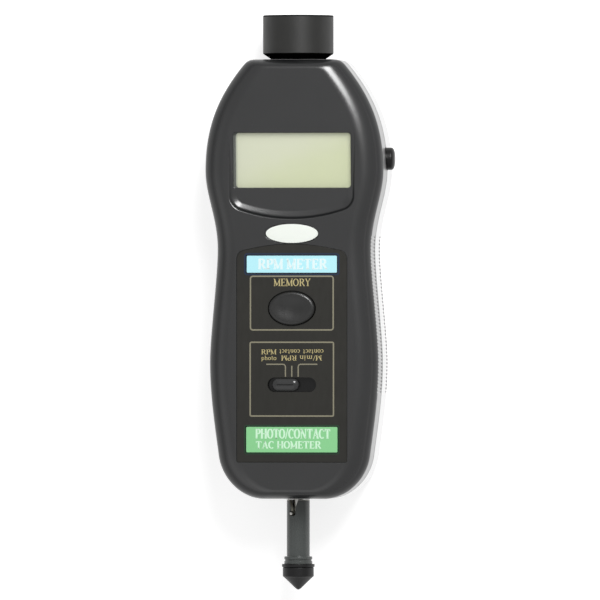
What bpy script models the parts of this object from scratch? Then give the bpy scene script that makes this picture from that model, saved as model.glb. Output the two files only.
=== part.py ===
"""Hand-held photo/contact tachometer, lying on its back.

Frame: metres, +Z out of the display face, Z = 0 on the back, +Y towards the photo head,
X = 0 on the middle plane, Y = 0 at the middle of the housing. The lens barrel and the
contact spindle share one axis along Y, at half the depth of the housing.
"""

import math

import bmesh
import bpy
from mathutils import Matrix, Vector

MM = 0.001
CLEARANCE = 0.3 * MM

# Housing
HEAD_ROOM = 27.8 * MM
HOUSING_DEPTH = 38.0 * MM
HEAD_HALF_WIDTH = 33.5 * MM
HEAD_Y = 40.5 * MM
WAIST_HALF_WIDTH = 28.9 * MM
WAIST_Y = 11.0 * MM
GRIP_HALF_WIDTH = 31.8 * MM
GRIP_Y = -31.2 * MM
SHOULDER_HALF_WIDTH = 19.5 * MM
SHOULDER_DROP = 2.55 * MM
HEEL_HALF_WIDTH = 28.5 * MM
HEEL_RISE = 16.2 * MM
TOP_FLAT_HALF_WIDTH = 13.7 * MM
BOTTOM_FLAT_HALF_WIDTH = 11.2 * MM
WALL = 2.2 * MM
FRONT_FILLET_WIDTH = 8.0 * MM
FRONT_FILLET_HEIGHT = 8.0 * MM
FRONT_FILLET_END = 3.6 * MM
FILLET_SOFTNESS = 15.0 * MM
REAR_FILLET = 4.0 * MM
LIP_HEIGHT = 1.4 * MM
LIP_THICKNESS = 0.9 * MM
OUTLINE_STEPS = 5
OUTER_FILLET_STEPS = 4
INNER_FILLET_STEPS = 2
RIB_TOP_Y = 16.1 * MM
RIB_BOTTOM_Y = -42.6 * MM
RIB_PITCH = 1.35 * MM
RIB_GROOVE = 0.65 * MM
RIB_DEPTH = 0.5 * MM
REAR_RIB_LOW_Z = 4.6 * MM
REAR_RIB_HIGH_Z = 16.0 * MM
FRONT_RIB_HIGH_Z = 31.0 * MM

# Display
RECESS_WIDTH = 47.5 * MM
RECESS_TOP_Y = 55.6 * MM
RECESS_APEX_Y = 22.9 * MM
RECESS_CORNER_Y = 27.6 * MM
RECESS_DEPTH = 2.3 * MM
RECESS_CORNER_RADIUS = 5.0 * MM
WINDOW_WIDTH = 43.5 * MM
WINDOW_HEIGHT = 20.8 * MM
WINDOW_Y = 44.3 * MM
WINDOW_CORNER = 1.0 * MM
WINDOW_LEDGE = 1.4 * MM
WINDOW_LIP = 0.9 * MM
PANE_THICKNESS = 1.0 * MM
LCD_THICKNESS = 2.4 * MM
LCD_FRAME_WALL = 1.3 * MM
ZEBRA_THICKNESS = 2.0 * MM

# Face panel and labels
PANEL_WIDTH = 41.5 * MM
PANEL_TOP_Y = 13.1 * MM
PANEL_SHOULDER_Y = 10.9 * MM
PANEL_BOTTOM_Y = -68.3 * MM
PANEL_CORNER = 3.4 * MM
PANEL_THICKNESS = 0.5 * MM
PANEL_RECESS = 1.0 * MM
BLUE_WIDTH = 34.1 * MM
BLUE_HEIGHT = 6.55 * MM
BLUE_Y = 5.55 * MM
GREEN_WIDTH = 34.5 * MM
GREEN_HEIGHT = 9.7 * MM
GREEN_Y = -59.85 * MM
LABEL_CORNER = 0.6 * MM
BADGE_WIDTH = 19.6 * MM
BADGE_HEIGHT = 7.05 * MM
BADGE_Y = 17.0 * MM

# Memory button
MEMORY_WIDTH = 17.4 * MM
MEMORY_HEIGHT = 12.6 * MM
MEMORY_Y = -10.9 * MM
MEMORY_PROUD = 1.1 * MM
MEMORY_DISH = 0.5 * MM
MEMORY_FLANGE = 1.3 * MM
MEMORY_TRAVEL = 1.0 * MM
FLANGE_THICKNESS = 1.1 * MM

# Mode switch
SLOT_WIDTH = 18.2 * MM
SLOT_HEIGHT = 5.4 * MM
MODE_Y = -39.4 * MM
KNOB_WIDTH = 10.2 * MM
KNOB_PROUD = 0.9 * MM
MODE_STEP = 2.4 * MM
SHUTTER_THICKNESS = 0.8 * MM
LEVER_SIZE = 1.8 * MM

# Side measuring button
MEASURE_DIAMETER = 8.4 * MM
MEASURE_Y = 45.0 * MM
MEASURE_PROUD = 3.3 * MM
MEASURE_TRAVEL = 1.2 * MM
MEASURE_FLANGE = 1.2 * MM

# Switch bodies
SWITCH_SIZE = 10.0 * MM
SWITCH_HEIGHT = 3.5 * MM
PLUNGER_RADIUS = 2.6 * MM
PLUNGER_INSERT = 1.6 * MM

# Photo head
BARREL_RADIUS = 13.2 * MM
BARREL_LENGTH = 14.35 * MM
NECK_LENGTH = 2.2 * MM
NECK_RADIUS = 10.3 * MM
BARREL_BORE_RADIUS = 10.5 * MM
BARREL_RIM = 0.5 * MM
BARREL_FLANGE = 1.9 * MM
TAIL_LENGTH = 3.2 * MM
TAIL_BORE_RADIUS = 8.0 * MM
LENS_SETBACK = 3.6 * MM
LENS_EDGE = 2.0 * MM
LENS_CROWN = 1.8 * MM
LENS_RING_LENGTH = 1.6 * MM
LENS_RING_WALL = 1.2 * MM
LENS_STEP = 1.2 * MM
HOLDER_LENGTH = 5.5 * MM
EMITTER_OFFSET = 3.6 * MM
EMITTER_RADIUS = 2.4 * MM
SENSOR_BOARD_SIZE = 21.0 * MM

# Contact drive
SPINDLE_RADIUS = 2.0 * MM
SPINDLE_REACH = 15.9 * MM
SPINDLE_TAIL = 1.2 * MM
BEARING_RADIUS = 4.2 * MM
BEARING_LENGTH = 3.0 * MM
BLOCK_LENGTH = 13.6 * MM
BLOCK_WIDTH = 15.0 * MM
BLOCK_HEIGHT_OVER_AXIS = 6.5 * MM
COLLAR_RADIUS = 3.4 * MM
COLLAR_LENGTH = 1.0 * MM
DISC_RADIUS = 12.0 * MM
DISC_THICKNESS = 0.8 * MM
DISC_SLOTS = 24
DISC_SLOT_DEPTH = 3.0 * MM
HUB_RADIUS = 4.0 * MM
HUB_LENGTH = 3.4 * MM
CLIP_THICKNESS = 0.5 * MM
INTERRUPTER_WIDTH = 6.4 * MM
INTERRUPTER_GAP = 2.4 * MM
INTERRUPTER_HEIGHT = 9.0 * MM
PIN_RADIUS = 0.65 * MM
PIN_SETBACK = 5.5 * MM
PIN_ANGLE = math.radians(-32.0)
SLOT_ANGLE = math.radians(-20.0)
SLOT_MOUTH = 2.6 * MM
SLOT_FUNNEL = 1.6 * MM

# Contact adaptor
SLEEVE_RADIUS = 4.3 * MM
SLEEVE_LENGTH = 21.3 * MM
SLEEVE_COLLAR_RADIUS = 5.25 * MM
SLEEVE_COLLAR_LENGTH = 2.8 * MM
NOSE_RADIUS = 2.8 * MM
NOSE_LENGTH = 3.6 * MM
CONE_FLANGE_RADIUS = 6.1 * MM
CONE_FLANGE_LENGTH = 1.0 * MM
CONE_BODY_RADIUS = 5.8 * MM
CONE_BODY_LENGTH = 3.7 * MM
CONE_BASE_RADIUS = 5.3 * MM
CONE_LENGTH = 4.7 * MM
CONE_TIP_RADIUS = 0.9 * MM

# Battery bay
CELL_RADIUS = 7.15 * MM
CELL_LENGTH = 50.2 * MM
NUB_RADIUS = 2.7 * MM
NUB_LENGTH = 1.2 * MM
CONTACT_ROOM = 3.95 * MM
BAY_WALL = 1.6 * MM
COVER_THICKNESS = 2.0 * MM
COVER_MARGIN = 2.5 * MM
TONGUE_WIDTH = 1.2 * MM
TONGUE_DEPTH = 0.9 * MM
GRIP_RIDGES = 5
GRIP_PITCH = 2.4 * MM
GRIP_WIDTH = 16.0 * MM
GRIP_DEPTH = 0.5 * MM
CONTACT_THICKNESS = 0.5 * MM
SPRING_RADIUS = 4.2 * MM
SPRING_TIP_RADIUS = 2.4 * MM
SPRING_WIRE = 0.35 * MM
SPRING_TURNS = 3

# Boards and fasteners
BOARD_THICKNESS = 1.6 * MM
BOARD_SETBACK = 10.0 * MM
BOARD_HALF_WIDTH = 22.5 * MM
BOARD_NARROW_HALF_WIDTH = 16.0 * MM
BOARD_TOP_Y = 58.0 * MM
BOARD_STEP_Y = -42.0 * MM
BOARD_BOTTOM_Y = -57.5 * MM
CASE_SCREW_PLACES = ((20.0 * MM, 63.5 * MM), (21.6 * MM, -48.0 * MM))
BOSS_RADIUS = 3.3 * MM
SCREW_RADIUS = 1.45 * MM
SCREW_HEAD_RADIUS = 2.7 * MM
SCREW_HEAD_HEIGHT = 1.8 * MM
SCREW_GRIP = 9.0 * MM
SCREW_SEAT_Z = 11.0 * MM
BOARD_SCREW_PLACES = ((19.0 * MM, 26.0 * MM), (18.5 * MM, -24.0 * MM))
BOARD_BOSS_RADIUS = 2.4 * MM
BOARD_SCREW_RADIUS = 1.0 * MM
BOARD_SCREW_LENGTH = 5.0 * MM
CHIP_SIZE = 14.0 * MM
CHIP_HEIGHT = 1.6 * MM
CHIP_Y = 13.0 * MM
CRYSTAL_WIDTH = 11.0 * MM
CRYSTAL_DEPTH = 4.6 * MM
CRYSTAL_HEIGHT = 3.4 * MM
CRYSTAL_Y = -6.0 * MM
RAIL_WIDTH = 1.5 * MM

# Worked out from the sizes above
BAY_LENGTH = 2 * CELL_LENGTH + CLEARANCE + 2 * CONTACT_ROOM
HOUSING_LENGTH = BAY_LENGTH + 2 * HEAD_ROOM
AXIS_Z = HOUSING_DEPTH / 2
TOP_Y = HOUSING_LENGTH / 2
BOTTOM_Y = -HOUSING_LENGTH / 2
BARREL_REAR_Y = TOP_Y + NECK_LENGTH
BARREL_FRONT_Y = BARREL_REAR_Y + BARREL_LENGTH
SPINDLE_OUTER_Y = BOTTOM_Y - SPINDLE_REACH
PIN_Y = BOTTOM_Y - PIN_SETBACK
SLEEVE_END_Y = BOTTOM_Y - CLEARANCE - SLEEVE_LENGTH
SLEEVE_COLLAR_END_Y = SLEEVE_END_Y - SLEEVE_COLLAR_LENGTH
BLOCK_OUTER_Y = BOTTOM_Y + WALL + CLEARANCE
BLOCK_INNER_Y = BLOCK_OUTER_Y + BLOCK_LENGTH
HUB_OUTER_Y = BLOCK_INNER_Y + CLEARANCE + CLIP_THICKNESS
DISC_Y = HUB_OUTER_Y + HUB_LENGTH
SPINDLE_INNER_Y = DISC_Y + SPINDLE_TAIL
BOARD_FACE_Z = HOUSING_DEPTH - BOARD_SETBACK
INNER_FRONT_Z = HOUSING_DEPTH - WALL
PARTING = CLEARANCE / 2
BOARD_BACK_Z = BOARD_FACE_Z - BOARD_THICKNESS
COVER_HALF_WIDTH = 2 * CELL_RADIUS + 3.4 * MM
BAY_HALF_WIDTH = 2 * CELL_RADIUS + 3 * CLEARANCE
CELL_Z = COVER_THICKNESS + 1.5 * CLEARANCE + CELL_RADIUS
BAY_ROOF_Z = CELL_Z + CELL_RADIUS + CLEARANCE
CHANNEL_Z = COVER_THICKNESS + CLEARANCE
COVER_TOP_Y = BAY_LENGTH / 2 + COVER_MARGIN

parts = bpy.data.collections.new("tachometer")
cutters = bpy.data.collections.new("cutters")


def clear_scene():
    """Remove every object that the file opens with."""
    for obj in list(bpy.data.objects):
        bpy.data.objects.remove(obj, do_unlink=True)
    for collection in (parts, cutters):
        bpy.context.scene.collection.children.link(collection)


def finish(name, colour, roughness, metallic=0.0, alpha=1.0):
    """A Principled material."""
    material = bpy.data.materials.new(name)
    material.use_nodes = True
    shader = material.node_tree.nodes["Principled BSDF"]
    shader.inputs["Base Color"].default_value = (*colour, 1.0)
    shader.inputs["Roughness"].default_value = roughness
    shader.inputs["Metallic"].default_value = metallic
    shader.inputs["Alpha"].default_value = alpha
    return material


def shade(mesh):
    """Smooth shading with the real edges kept sharp."""
    mesh.shade_smooth()
    mesh.set_sharp_from_angle(angle=math.radians(35))


def place(name, mesh, material=None, location=(0, 0, 0)):
    """Put a mesh in the parts, or among the cutters when it has no material."""
    obj = bpy.data.objects.new(name, mesh)
    obj.location = location
    if material is None:
        obj.hide_render = True
        obj.display_type = "WIRE"
        cutters.objects.link(obj)
    else:
        mesh.materials.append(material)
        parts.objects.link(obj)
    return obj


def combine(obj, other, operation):
    """Add a Boolean with another object, which joins the cutters."""
    if other.name in parts.objects:
        parts.objects.unlink(other)
        cutters.objects.link(other)
    other.hide_render = True
    other.display_type = "WIRE"
    modifier = obj.modifiers.new(operation.lower() + "_" + other.name, "BOOLEAN")
    modifier.operation = operation
    modifier.object = other
    modifier.solver = "EXACT"


def cut(obj, *tools):
    """Take each tool away from the object."""
    for tool in tools:
        combine(obj, tool, "DIFFERENCE")


def join(obj, *tools):
    """Fuse each tool with the object."""
    for tool in tools:
        combine(obj, tool, "UNION")


def box(name, low, high, material=None, bevel=0.0):
    """A block between two corners, with its upright edges rounded if asked."""
    low, high = Vector(low), Vector(high)
    mesh = bpy.data.meshes.new(name)
    shape = bmesh.new()
    bmesh.ops.create_cube(shape, size=1.0)
    size = high - low
    bmesh.ops.scale(shape, vec=size, verts=shape.verts)
    shape.to_mesh(mesh)
    shape.free()
    obj = place(name, mesh, material, (low + high) / 2)
    if bevel:
        rounding = obj.modifiers.new("edges", "BEVEL")
        rounding.width = bevel
        rounding.segments = 2
    return obj


def cylinder(name, radius, start, end, material=None, segments=24, end_radius=None):
    """A round bar or cone between two points."""
    start, end = Vector(start), Vector(end)
    mesh = bpy.data.meshes.new(name)
    shape = bmesh.new()
    span = end - start
    bmesh.ops.create_cone(
        shape, cap_ends=True, segments=segments, radius1=radius,
        radius2=radius if end_radius is None else end_radius, depth=span.length)
    shape.to_mesh(mesh)
    shape.free()
    shade(mesh)
    obj = place(name, mesh, material, (start + end) / 2)
    obj.rotation_mode = "QUATERNION"
    obj.rotation_quaternion = span.to_track_quat("Z", "Y")
    return obj


def turned(name, profile, material=None, location=(0, 0, 0), direction="+Y", steps=40):
    """Turn a profile of (radius, height) pairs round its axis.

    The heights run along the direction, and the profile runs down its outer side and, for
    a ring, back up its bore.
    """
    mesh = bpy.data.meshes.new(name)
    shape = bmesh.new()
    points = [shape.verts.new((radius, 0, height)) for radius, height in profile]
    for first, second in zip(points, points[1:]):
        shape.edges.new((first, second))
    if profile[0][0] > 0:
        shape.edges.new((points[-1], points[0]))
    shape.to_mesh(mesh)
    shape.free()
    obj = place(name, mesh, material, location)
    turns = {"+Y": (-90, 0), "-Y": (90, 0), "+X": (0, 90), "+Z": (0, 0)}
    about_x, about_y = turns[direction]
    obj.rotation_euler = (math.radians(about_x), math.radians(about_y), 0)
    screw = obj.modifiers.new("turn", "SCREW")
    screw.steps = steps
    screw.render_steps = steps
    screw.use_merge_vertices = True
    screw.merge_threshold = 0.00001
    screw.use_smooth_shade = True
    return obj


def flat(name, outlines, low, high, material=None):
    """Extrude a flat outline, with any further outlines as its holes."""
    curve = bpy.data.curves.new(name, "CURVE")
    curve.dimensions = "2D"
    curve.fill_mode = "BOTH"
    curve.extrude = (high - low) / 2
    for outline in outlines:
        spline = curve.splines.new("POLY")
        spline.points.add(len(outline) - 1)
        for point, (x, y) in zip(spline.points, outline):
            point.co = (x, y, 0, 1)
        spline.use_cyclic_u = True
    drawn = bpy.data.objects.new(name + "_outline", curve)
    bpy.context.scene.collection.objects.link(drawn)
    bpy.context.view_layer.update()
    seen = drawn.evaluated_get(bpy.context.evaluated_depsgraph_get())
    mesh = bpy.data.meshes.new_from_object(seen)
    mesh.name = name
    bpy.data.objects.remove(drawn, do_unlink=True)
    bpy.data.curves.remove(curve)
    shape = bmesh.new()
    shape.from_mesh(mesh)
    bmesh.ops.remove_doubles(shape, verts=shape.verts, dist=0.000001)
    bmesh.ops.recalc_face_normals(shape, faces=shape.faces)
    shape.to_mesh(mesh)
    shape.free()
    shade(mesh)
    return place(name, mesh, material, (0, 0, (low + high) / 2))


def arc(centre, radius, start, end, steps):
    """Points of an arc, angles in degrees."""
    points = []
    for step in range(steps + 1):
        angle = math.radians(start + (end - start) * step / steps)
        points.append((centre[0] + radius * math.cos(angle), centre[1] + radius * math.sin(angle)))
    return points


def rounded_rectangle(width, height, radius, centre=(0, 0), steps=4):
    """Outline of a rectangle with round corners."""
    x, y = width / 2 - radius, height / 2 - radius
    outline = []
    for sign_x, sign_y, start in ((1, 1, 0), (-1, 1, 90), (-1, -1, 180), (1, -1, 270)):
        corner = (centre[0] + sign_x * x, centre[1] + sign_y * y)
        outline += arc(corner, radius, start, start + 90, steps)
    return outline


def stadium(width, height, centre=(0, 0), steps=8):
    """Outline with straight sides and half-round ends."""
    reach = (width - height) / 2
    right = arc((centre[0] + reach, centre[1]), height / 2, -90, 90, steps)
    left = arc((centre[0] - reach, centre[1]), height / 2, 90, 270, steps)
    return right + left


def ellipse(width, height, centre=(0, 0), steps=28):
    """Outline of an ellipse."""
    outline = []
    for step in range(steps):
        angle = 2 * math.pi * step / steps
        x = centre[0] + width / 2 * math.cos(angle)
        outline.append((x, centre[1] + height / 2 * math.sin(angle)))
    return outline


def bezier(start, start_handle, end_handle, end, steps):
    """Points of a cubic Bezier stretch, without its last point."""
    points = []
    for step in range(steps):
        t = step / steps
        weights = ((1 - t) ** 3, 3 * (1 - t) ** 2 * t, 3 * (1 - t) * t ** 2, t ** 3)
        knots = (start, start_handle, end_handle, end)
        points.append(sum((Vector(knot) * weight for knot, weight in zip(knots, weights)), Vector((0, 0))))
    return points


def housing_half_outline():
    """Right half of the housing's outline, from the top flat round to the bottom flat.

    Each knot is a place, a direction of travel in degrees and the lengths of its two handles.
    """
    knots = (
        ((TOP_FLAT_HALF_WIDTH, TOP_Y), 0, 0, 3.2 * MM),
        ((SHOULDER_HALF_WIDTH, TOP_Y - SHOULDER_DROP), -51, 2.6 * MM, 14.6 * MM),
        ((HEAD_HALF_WIDTH, HEAD_Y), -90, 16.5 * MM, 9.3 * MM),
        ((WAIST_HALF_WIDTH, WAIST_Y), -90, 11.8 * MM, 10.3 * MM),
        ((GRIP_HALF_WIDTH, GRIP_Y), -90, 10.4 * MM, 12.2 * MM),
        ((HEEL_HALF_WIDTH, BOTTOM_Y + HEEL_RISE), -97.6, 11.0 * MM, 8.7 * MM),
        ((BOTTOM_FLAT_HALF_WIDTH, BOTTOM_Y), -180, 8.8 * MM, 0),
    )
    outline = []
    for first, second in zip(knots, knots[1:]):
        start, end = Vector(first[0]), Vector(second[0])
        leave, arrive = math.radians(first[1]), math.radians(second[1])
        start_handle = start + first[3] * Vector((math.cos(leave), math.sin(leave)))
        end_handle = end - second[2] * Vector((math.cos(arrive), math.sin(arrive)))
        outline += bezier(start, start_handle, end_handle, end, OUTLINE_STEPS)
    outline.append(Vector(knots[-1][0]))
    return outline


def half_width_at(y):
    """Half the housing's width at a place along it."""
    outline = housing_half_outline()
    for first, second in zip(outline, outline[1:]):
        if second.y <= y <= first.y:
            share = (first.y - y) / (first.y - second.y)
            return first.x + share * (second.x - first.x)
    return outline[-1].x


def drawn_in(x, side):
    """Where a point of the outline comes to when the side walls move in.

    The walls move by the whole inset and the middle stays, with a soft change between them,
    so that the fillet stays wide round the shoulders.
    """
    share = math.tanh(x / FILLET_SOFTNESS) / math.tanh(HEAD_HALF_WIDTH / FILLET_SOFTNESS)
    return x - side * share


def loft(name, levels, material=None):
    """Stack the housing's outline, drawn in by a side and an end inset at each height."""
    half = housing_half_outline()
    outline = [(p.x, p.y) for p in half] + [(-p.x, p.y) for p in reversed(half)]
    mesh = bpy.data.meshes.new(name)
    shape = bmesh.new()
    rings = []
    for z, side, end in levels:
        along = 1 - end / TOP_Y
        rings.append([shape.verts.new((drawn_in(x, side), y * along, z)) for x, y in outline])
    for lower, upper in zip(rings, rings[1:]):
        for index in range(len(outline)):
            after = (index + 1) % len(outline)
            shape.faces.new((lower[index], upper[index], upper[after], lower[after]))
    shape.faces.new(rings[0])
    shape.faces.new(list(reversed(rings[-1])))
    bmesh.ops.recalc_face_normals(shape, faces=shape.faces)
    shape.to_mesh(mesh)
    shape.free()
    shade(mesh)
    return place(name, mesh, material)


def front_levels(base, inset=0.0, steps=OUTER_FILLET_STEPS):
    """Heights and insets of the front shell's surface, or of one drawn in by the inset."""
    levels = [(base, inset, inset)]
    height = FRONT_FILLET_HEIGHT - inset
    width = FRONT_FILLET_WIDTH - inset
    end = FRONT_FILLET_END
    for step in range(steps + 1):
        angle = math.pi / 2 * step / steps
        z = HOUSING_DEPTH - FRONT_FILLET_HEIGHT + height * math.sin(angle)
        draw = 1 - math.cos(angle)
        levels.append((z, inset + width * draw, inset + end * draw))
    return levels


def rear_levels(top, inset=0.0, steps=OUTER_FILLET_STEPS):
    """Heights and insets of the rear shell's surface, or of one drawn in by the inset."""
    levels = []
    radius = REAR_FILLET - inset
    for step in range(steps + 1):
        angle = math.pi / 2 * step / steps
        z = REAR_FILLET - radius * math.cos(angle)
        draw = radius * (1 - math.sin(angle))
        levels.append((z, inset + draw, inset + draw))
    levels.append((top, inset, inset))
    return levels


def both_sides(places):
    """Each place and its mirror image across X = 0."""
    for x, y in places:
        yield x, y
        yield -x, y


def screw_boss(name, place_xy, radius, low, high):
    """A round boss standing along Z."""
    x, y = place_xy
    return cylinder(name, radius, (x, y, low), (x, y, high), segments=16)


def rib_comb(name, side, bottom, top_z):
    """Comb that cuts the grip grooves into one side wall, following the outline.

    Each groove is a step in from the wall, and each tooth between two is left standing.
    """
    inner, outer = [], []
    count = round((RIB_TOP_Y - RIB_BOTTOM_Y) / RIB_PITCH)
    for index in range(count):
        top = RIB_TOP_Y - index * RIB_PITCH
        low = top - RIB_GROOVE
        for y, x_in in ((top, 0), (top, RIB_DEPTH), (low, RIB_DEPTH), (low, 0)):
            wall = half_width_at(y)
            inner.append((side * (wall + CLEARANCE if x_in == 0 else wall - x_in), y))
    reach = HEAD_HALF_WIDTH + WALL
    outer = [(side * reach, inner[-1][1]), (side * reach, inner[0][1])]
    return flat(name, [inner + outer], bottom, top_z)


def barrel_cradle(name, low, high):
    """Wall behind the barrel's flange, bored for its tail."""
    flange_back = TOP_Y - WALL - CLEARANCE - WALL / 2
    near = flange_back - CLEARANCE
    half = NECK_RADIUS + BARREL_FLANGE + WALL / 2
    wall = box(name, (-half, near - RAIL_WIDTH, low), (half, near, high))
    cut(wall, cylinder(name + "_bore", NECK_RADIUS + CLEARANCE, (0, near - 2 * WALL, AXIS_Z),
                       (0, near + WALL, AXIS_Z)))
    return wall


def shared_cutters(prefix):
    """Holes that cross the parting plane: photo head, spindle and side button."""
    neck = cylinder(prefix + "_neck", NECK_RADIUS + CLEARANCE,
                    (0, TOP_Y - 3 * WALL, AXIS_Z), (0, TOP_Y + WALL, AXIS_Z), segments=36)
    spindle = cylinder(prefix + "_spindle_hole", SPINDLE_RADIUS + 2 * CLEARANCE,
                       (0, BOTTOM_Y - WALL, AXIS_Z), (0, BOTTOM_Y + 3 * WALL, AXIS_Z))
    side = half_width_at(MEASURE_Y)
    button = cylinder(prefix + "_side_hole", MEASURE_DIAMETER / 2 + CLEARANCE,
                      (side - 3 * WALL, MEASURE_Y, AXIS_Z), (side + WALL, MEASURE_Y, AXIS_Z))
    return neck, spindle, button


def panel_outline(inset=0.0):
    """The face panel's outline: straight sides, round corners and a shallow arched top."""
    half = PANEL_WIDTH / 2 - inset
    corner = PANEL_CORNER - inset
    bottom = PANEL_BOTTOM_Y + inset
    shoulder = PANEL_SHOULDER_Y - inset
    rise = PANEL_TOP_Y - PANEL_SHOULDER_Y
    reach = half - corner
    radius = (reach ** 2 + rise ** 2) / (2 * rise)
    sweep = math.degrees(math.asin(reach / radius))
    outline = arc((half - LABEL_CORNER, bottom + LABEL_CORNER), LABEL_CORNER, -90, 0, 3)
    outline += arc((half - corner, shoulder - corner), corner, 0, 90 - sweep, 4)
    arch_centre = (0, PANEL_TOP_Y - inset - radius)
    outline += arc(arch_centre, radius, 90 - sweep, 90 + sweep, 10)[1:-1]
    outline += arc((corner - half, shoulder - corner), corner, 90 + sweep, 180, 4)
    outline += arc((LABEL_CORNER - half, bottom + LABEL_CORNER), LABEL_CORNER, 180, 270, 3)
    return outline


def recess_outline():
    """The display recess: straight sides, round lower corners and an arched lower edge."""
    half = RECESS_WIDTH / 2
    corner = RECESS_CORNER_RADIUS
    reach = half - corner
    drop = RECESS_CORNER_Y - corner / 2 - RECESS_APEX_Y
    radius = (reach ** 2 + drop ** 2) / (2 * drop)
    sweep = math.degrees(math.asin(reach / radius))
    outline = [(half, RECESS_TOP_Y), (-half, RECESS_TOP_Y)]
    outline += arc((corner - half, RECESS_CORNER_Y + corner / 2), corner, 180, 270 - sweep, 5)
    outline += arc((0, RECESS_APEX_Y + radius), radius, 270 - sweep, 270 + sweep, 10)[1:-1]
    outline += arc((half - corner, RECESS_CORNER_Y + corner / 2), corner, 270 + sweep, 360, 5)
    return outline


def tilt_display(*objects):
    """Lean objects drawn flat under Z = 0 onto the recess's sloping floor.

    The floor meets the face at the recess's top edge and is deepest at its lower edge.
    """
    slope = math.atan2(RECESS_DEPTH, RECESS_TOP_Y - RECESS_APEX_Y)
    hinge = Matrix.Translation((0, RECESS_TOP_Y, HOUSING_DEPTH))
    lean = hinge @ Matrix.Rotation(slope, 4, "X") @ Matrix.Translation((0, -RECESS_TOP_Y, 0))
    for obj in objects:
        obj.matrix_world = lean @ Matrix.Translation(obj.location)


def make_front_case(black):
    """Front shell with display recess, panel recess, holes, bosses and parting rebate."""
    case = loft("front_case", front_levels(AXIS_Z + PARTING), black)
    cut(case, loft("front_hollow", front_levels(AXIS_Z - WALL, WALL, INNER_FILLET_STEPS)))
    pad_low = INNER_FRONT_Z - RECESS_DEPTH
    pad_outline = rounded_rectangle(RECESS_WIDTH + 2 * WALL, RECESS_TOP_Y - RECESS_APEX_Y + 2 * WALL,
                                    RECESS_CORNER_RADIUS, (0, (RECESS_TOP_Y + RECESS_APEX_Y) / 2))
    join(case, flat("display_pad", [pad_outline], pad_low, HOUSING_DEPTH - WALL / 2))
    boss_top = HOUSING_DEPTH - WALL / 2
    for index, spot in enumerate(both_sides(CASE_SCREW_PLACES)):
        join(case, screw_boss(f"front_boss_{index}", spot, BOSS_RADIUS, AXIS_Z + PARTING, boss_top))
        cut(case, screw_boss(f"front_pilot_{index}", spot, SCREW_RADIUS + CLEARANCE,
                             AXIS_Z - WALL, AXIS_Z + SCREW_GRIP + WALL))
    for index, spot in enumerate(both_sides(BOARD_SCREW_PLACES)):
        join(case, screw_boss(f"board_boss_{index}", spot, BOARD_BOSS_RADIUS,
                              BOARD_FACE_Z + CLEARANCE, boss_top))
        cut(case, screw_boss(f"board_pilot_{index}", spot, BOARD_SCREW_RADIUS + CLEARANCE,
                             BOARD_FACE_Z - WALL, BOARD_FACE_Z + BOARD_SCREW_LENGTH + WALL / 2))
    join(case, barrel_cradle("front_cradle", AXIS_Z + PARTING, boss_top))
    rebate = WALL - LIP_THICKNESS - CLEARANCE
    cut(case, loft("lip_rebate", [(AXIS_Z - WALL, rebate, rebate),
                                  (AXIS_Z + PARTING + LIP_HEIGHT, rebate, rebate)]))
    recess = flat("display_recess", [recess_outline()], 0, 3 * WALL)
    opening = flat("window_opening", [rounded_rectangle(
        WINDOW_WIDTH, WINDOW_HEIGHT, WINDOW_CORNER, (0, WINDOW_Y))], -3 * WALL, WALL)
    seat = flat("window_seat", [rounded_rectangle(
        WINDOW_WIDTH + 2 * (WINDOW_LEDGE + CLEARANCE), WINDOW_HEIGHT + 2 * (WINDOW_LEDGE + CLEARANCE),
        WINDOW_CORNER, (0, WINDOW_Y))], -4 * WALL, -WINDOW_LIP)
    tilt_display(recess, opening, seat)
    cut(case, recess, opening, seat)
    face = HOUSING_DEPTH
    cut(case, flat("panel_recess", [panel_outline()], face - PANEL_RECESS, face + WALL))
    cut(case, flat("badge_recess", [ellipse(BADGE_WIDTH + 2 * CLEARANCE, BADGE_HEIGHT + 2 * CLEARANCE,
                                            (0, BADGE_Y))], face - PANEL_RECESS, face + WALL))
    cut(case, flat("memory_hole", [memory_outline(CLEARANCE)], face - 3 * WALL, face + WALL))
    cut(case, flat("mode_hole", [stadium(SLOT_WIDTH, SLOT_HEIGHT, (0, MODE_Y))],
                   face - 2 * WALL, face + WALL))
    cut(case, *shared_cutters("front"))
    rib_low = AXIS_Z + PARTING + LIP_HEIGHT + CLEARANCE
    cut(case, rib_comb("front_right_ribs", 1, rib_low, FRONT_RIB_HIGH_Z),
        rib_comb("front_left_ribs", -1, rib_low, FRONT_RIB_HIGH_Z))
    return case


def memory_outline(grow=0.0):
    """Oval of the memory button, grown by a clearance for its hole."""
    return ellipse(MEMORY_WIDTH + 2 * grow, MEMORY_HEIGHT + 2 * grow, (0, MEMORY_Y))


def cover_blank(name, grow=0.0):
    """T-shaped bar along Y that the battery cover is cut from, or its channel when grown."""
    half = COVER_HALF_WIDTH + grow
    tongue = half + TONGUE_WIDTH
    low_end, high_end = BOTTOM_Y - WALL, COVER_TOP_Y + grow
    top = COVER_THICKNESS + grow
    bar = box(name, (-half, low_end, -WALL), (half, high_end, top))
    join(bar, box(name + "_tongues", (-tongue, low_end, TONGUE_DEPTH - grow), (tongue, high_end, top)))
    return bar


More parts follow.
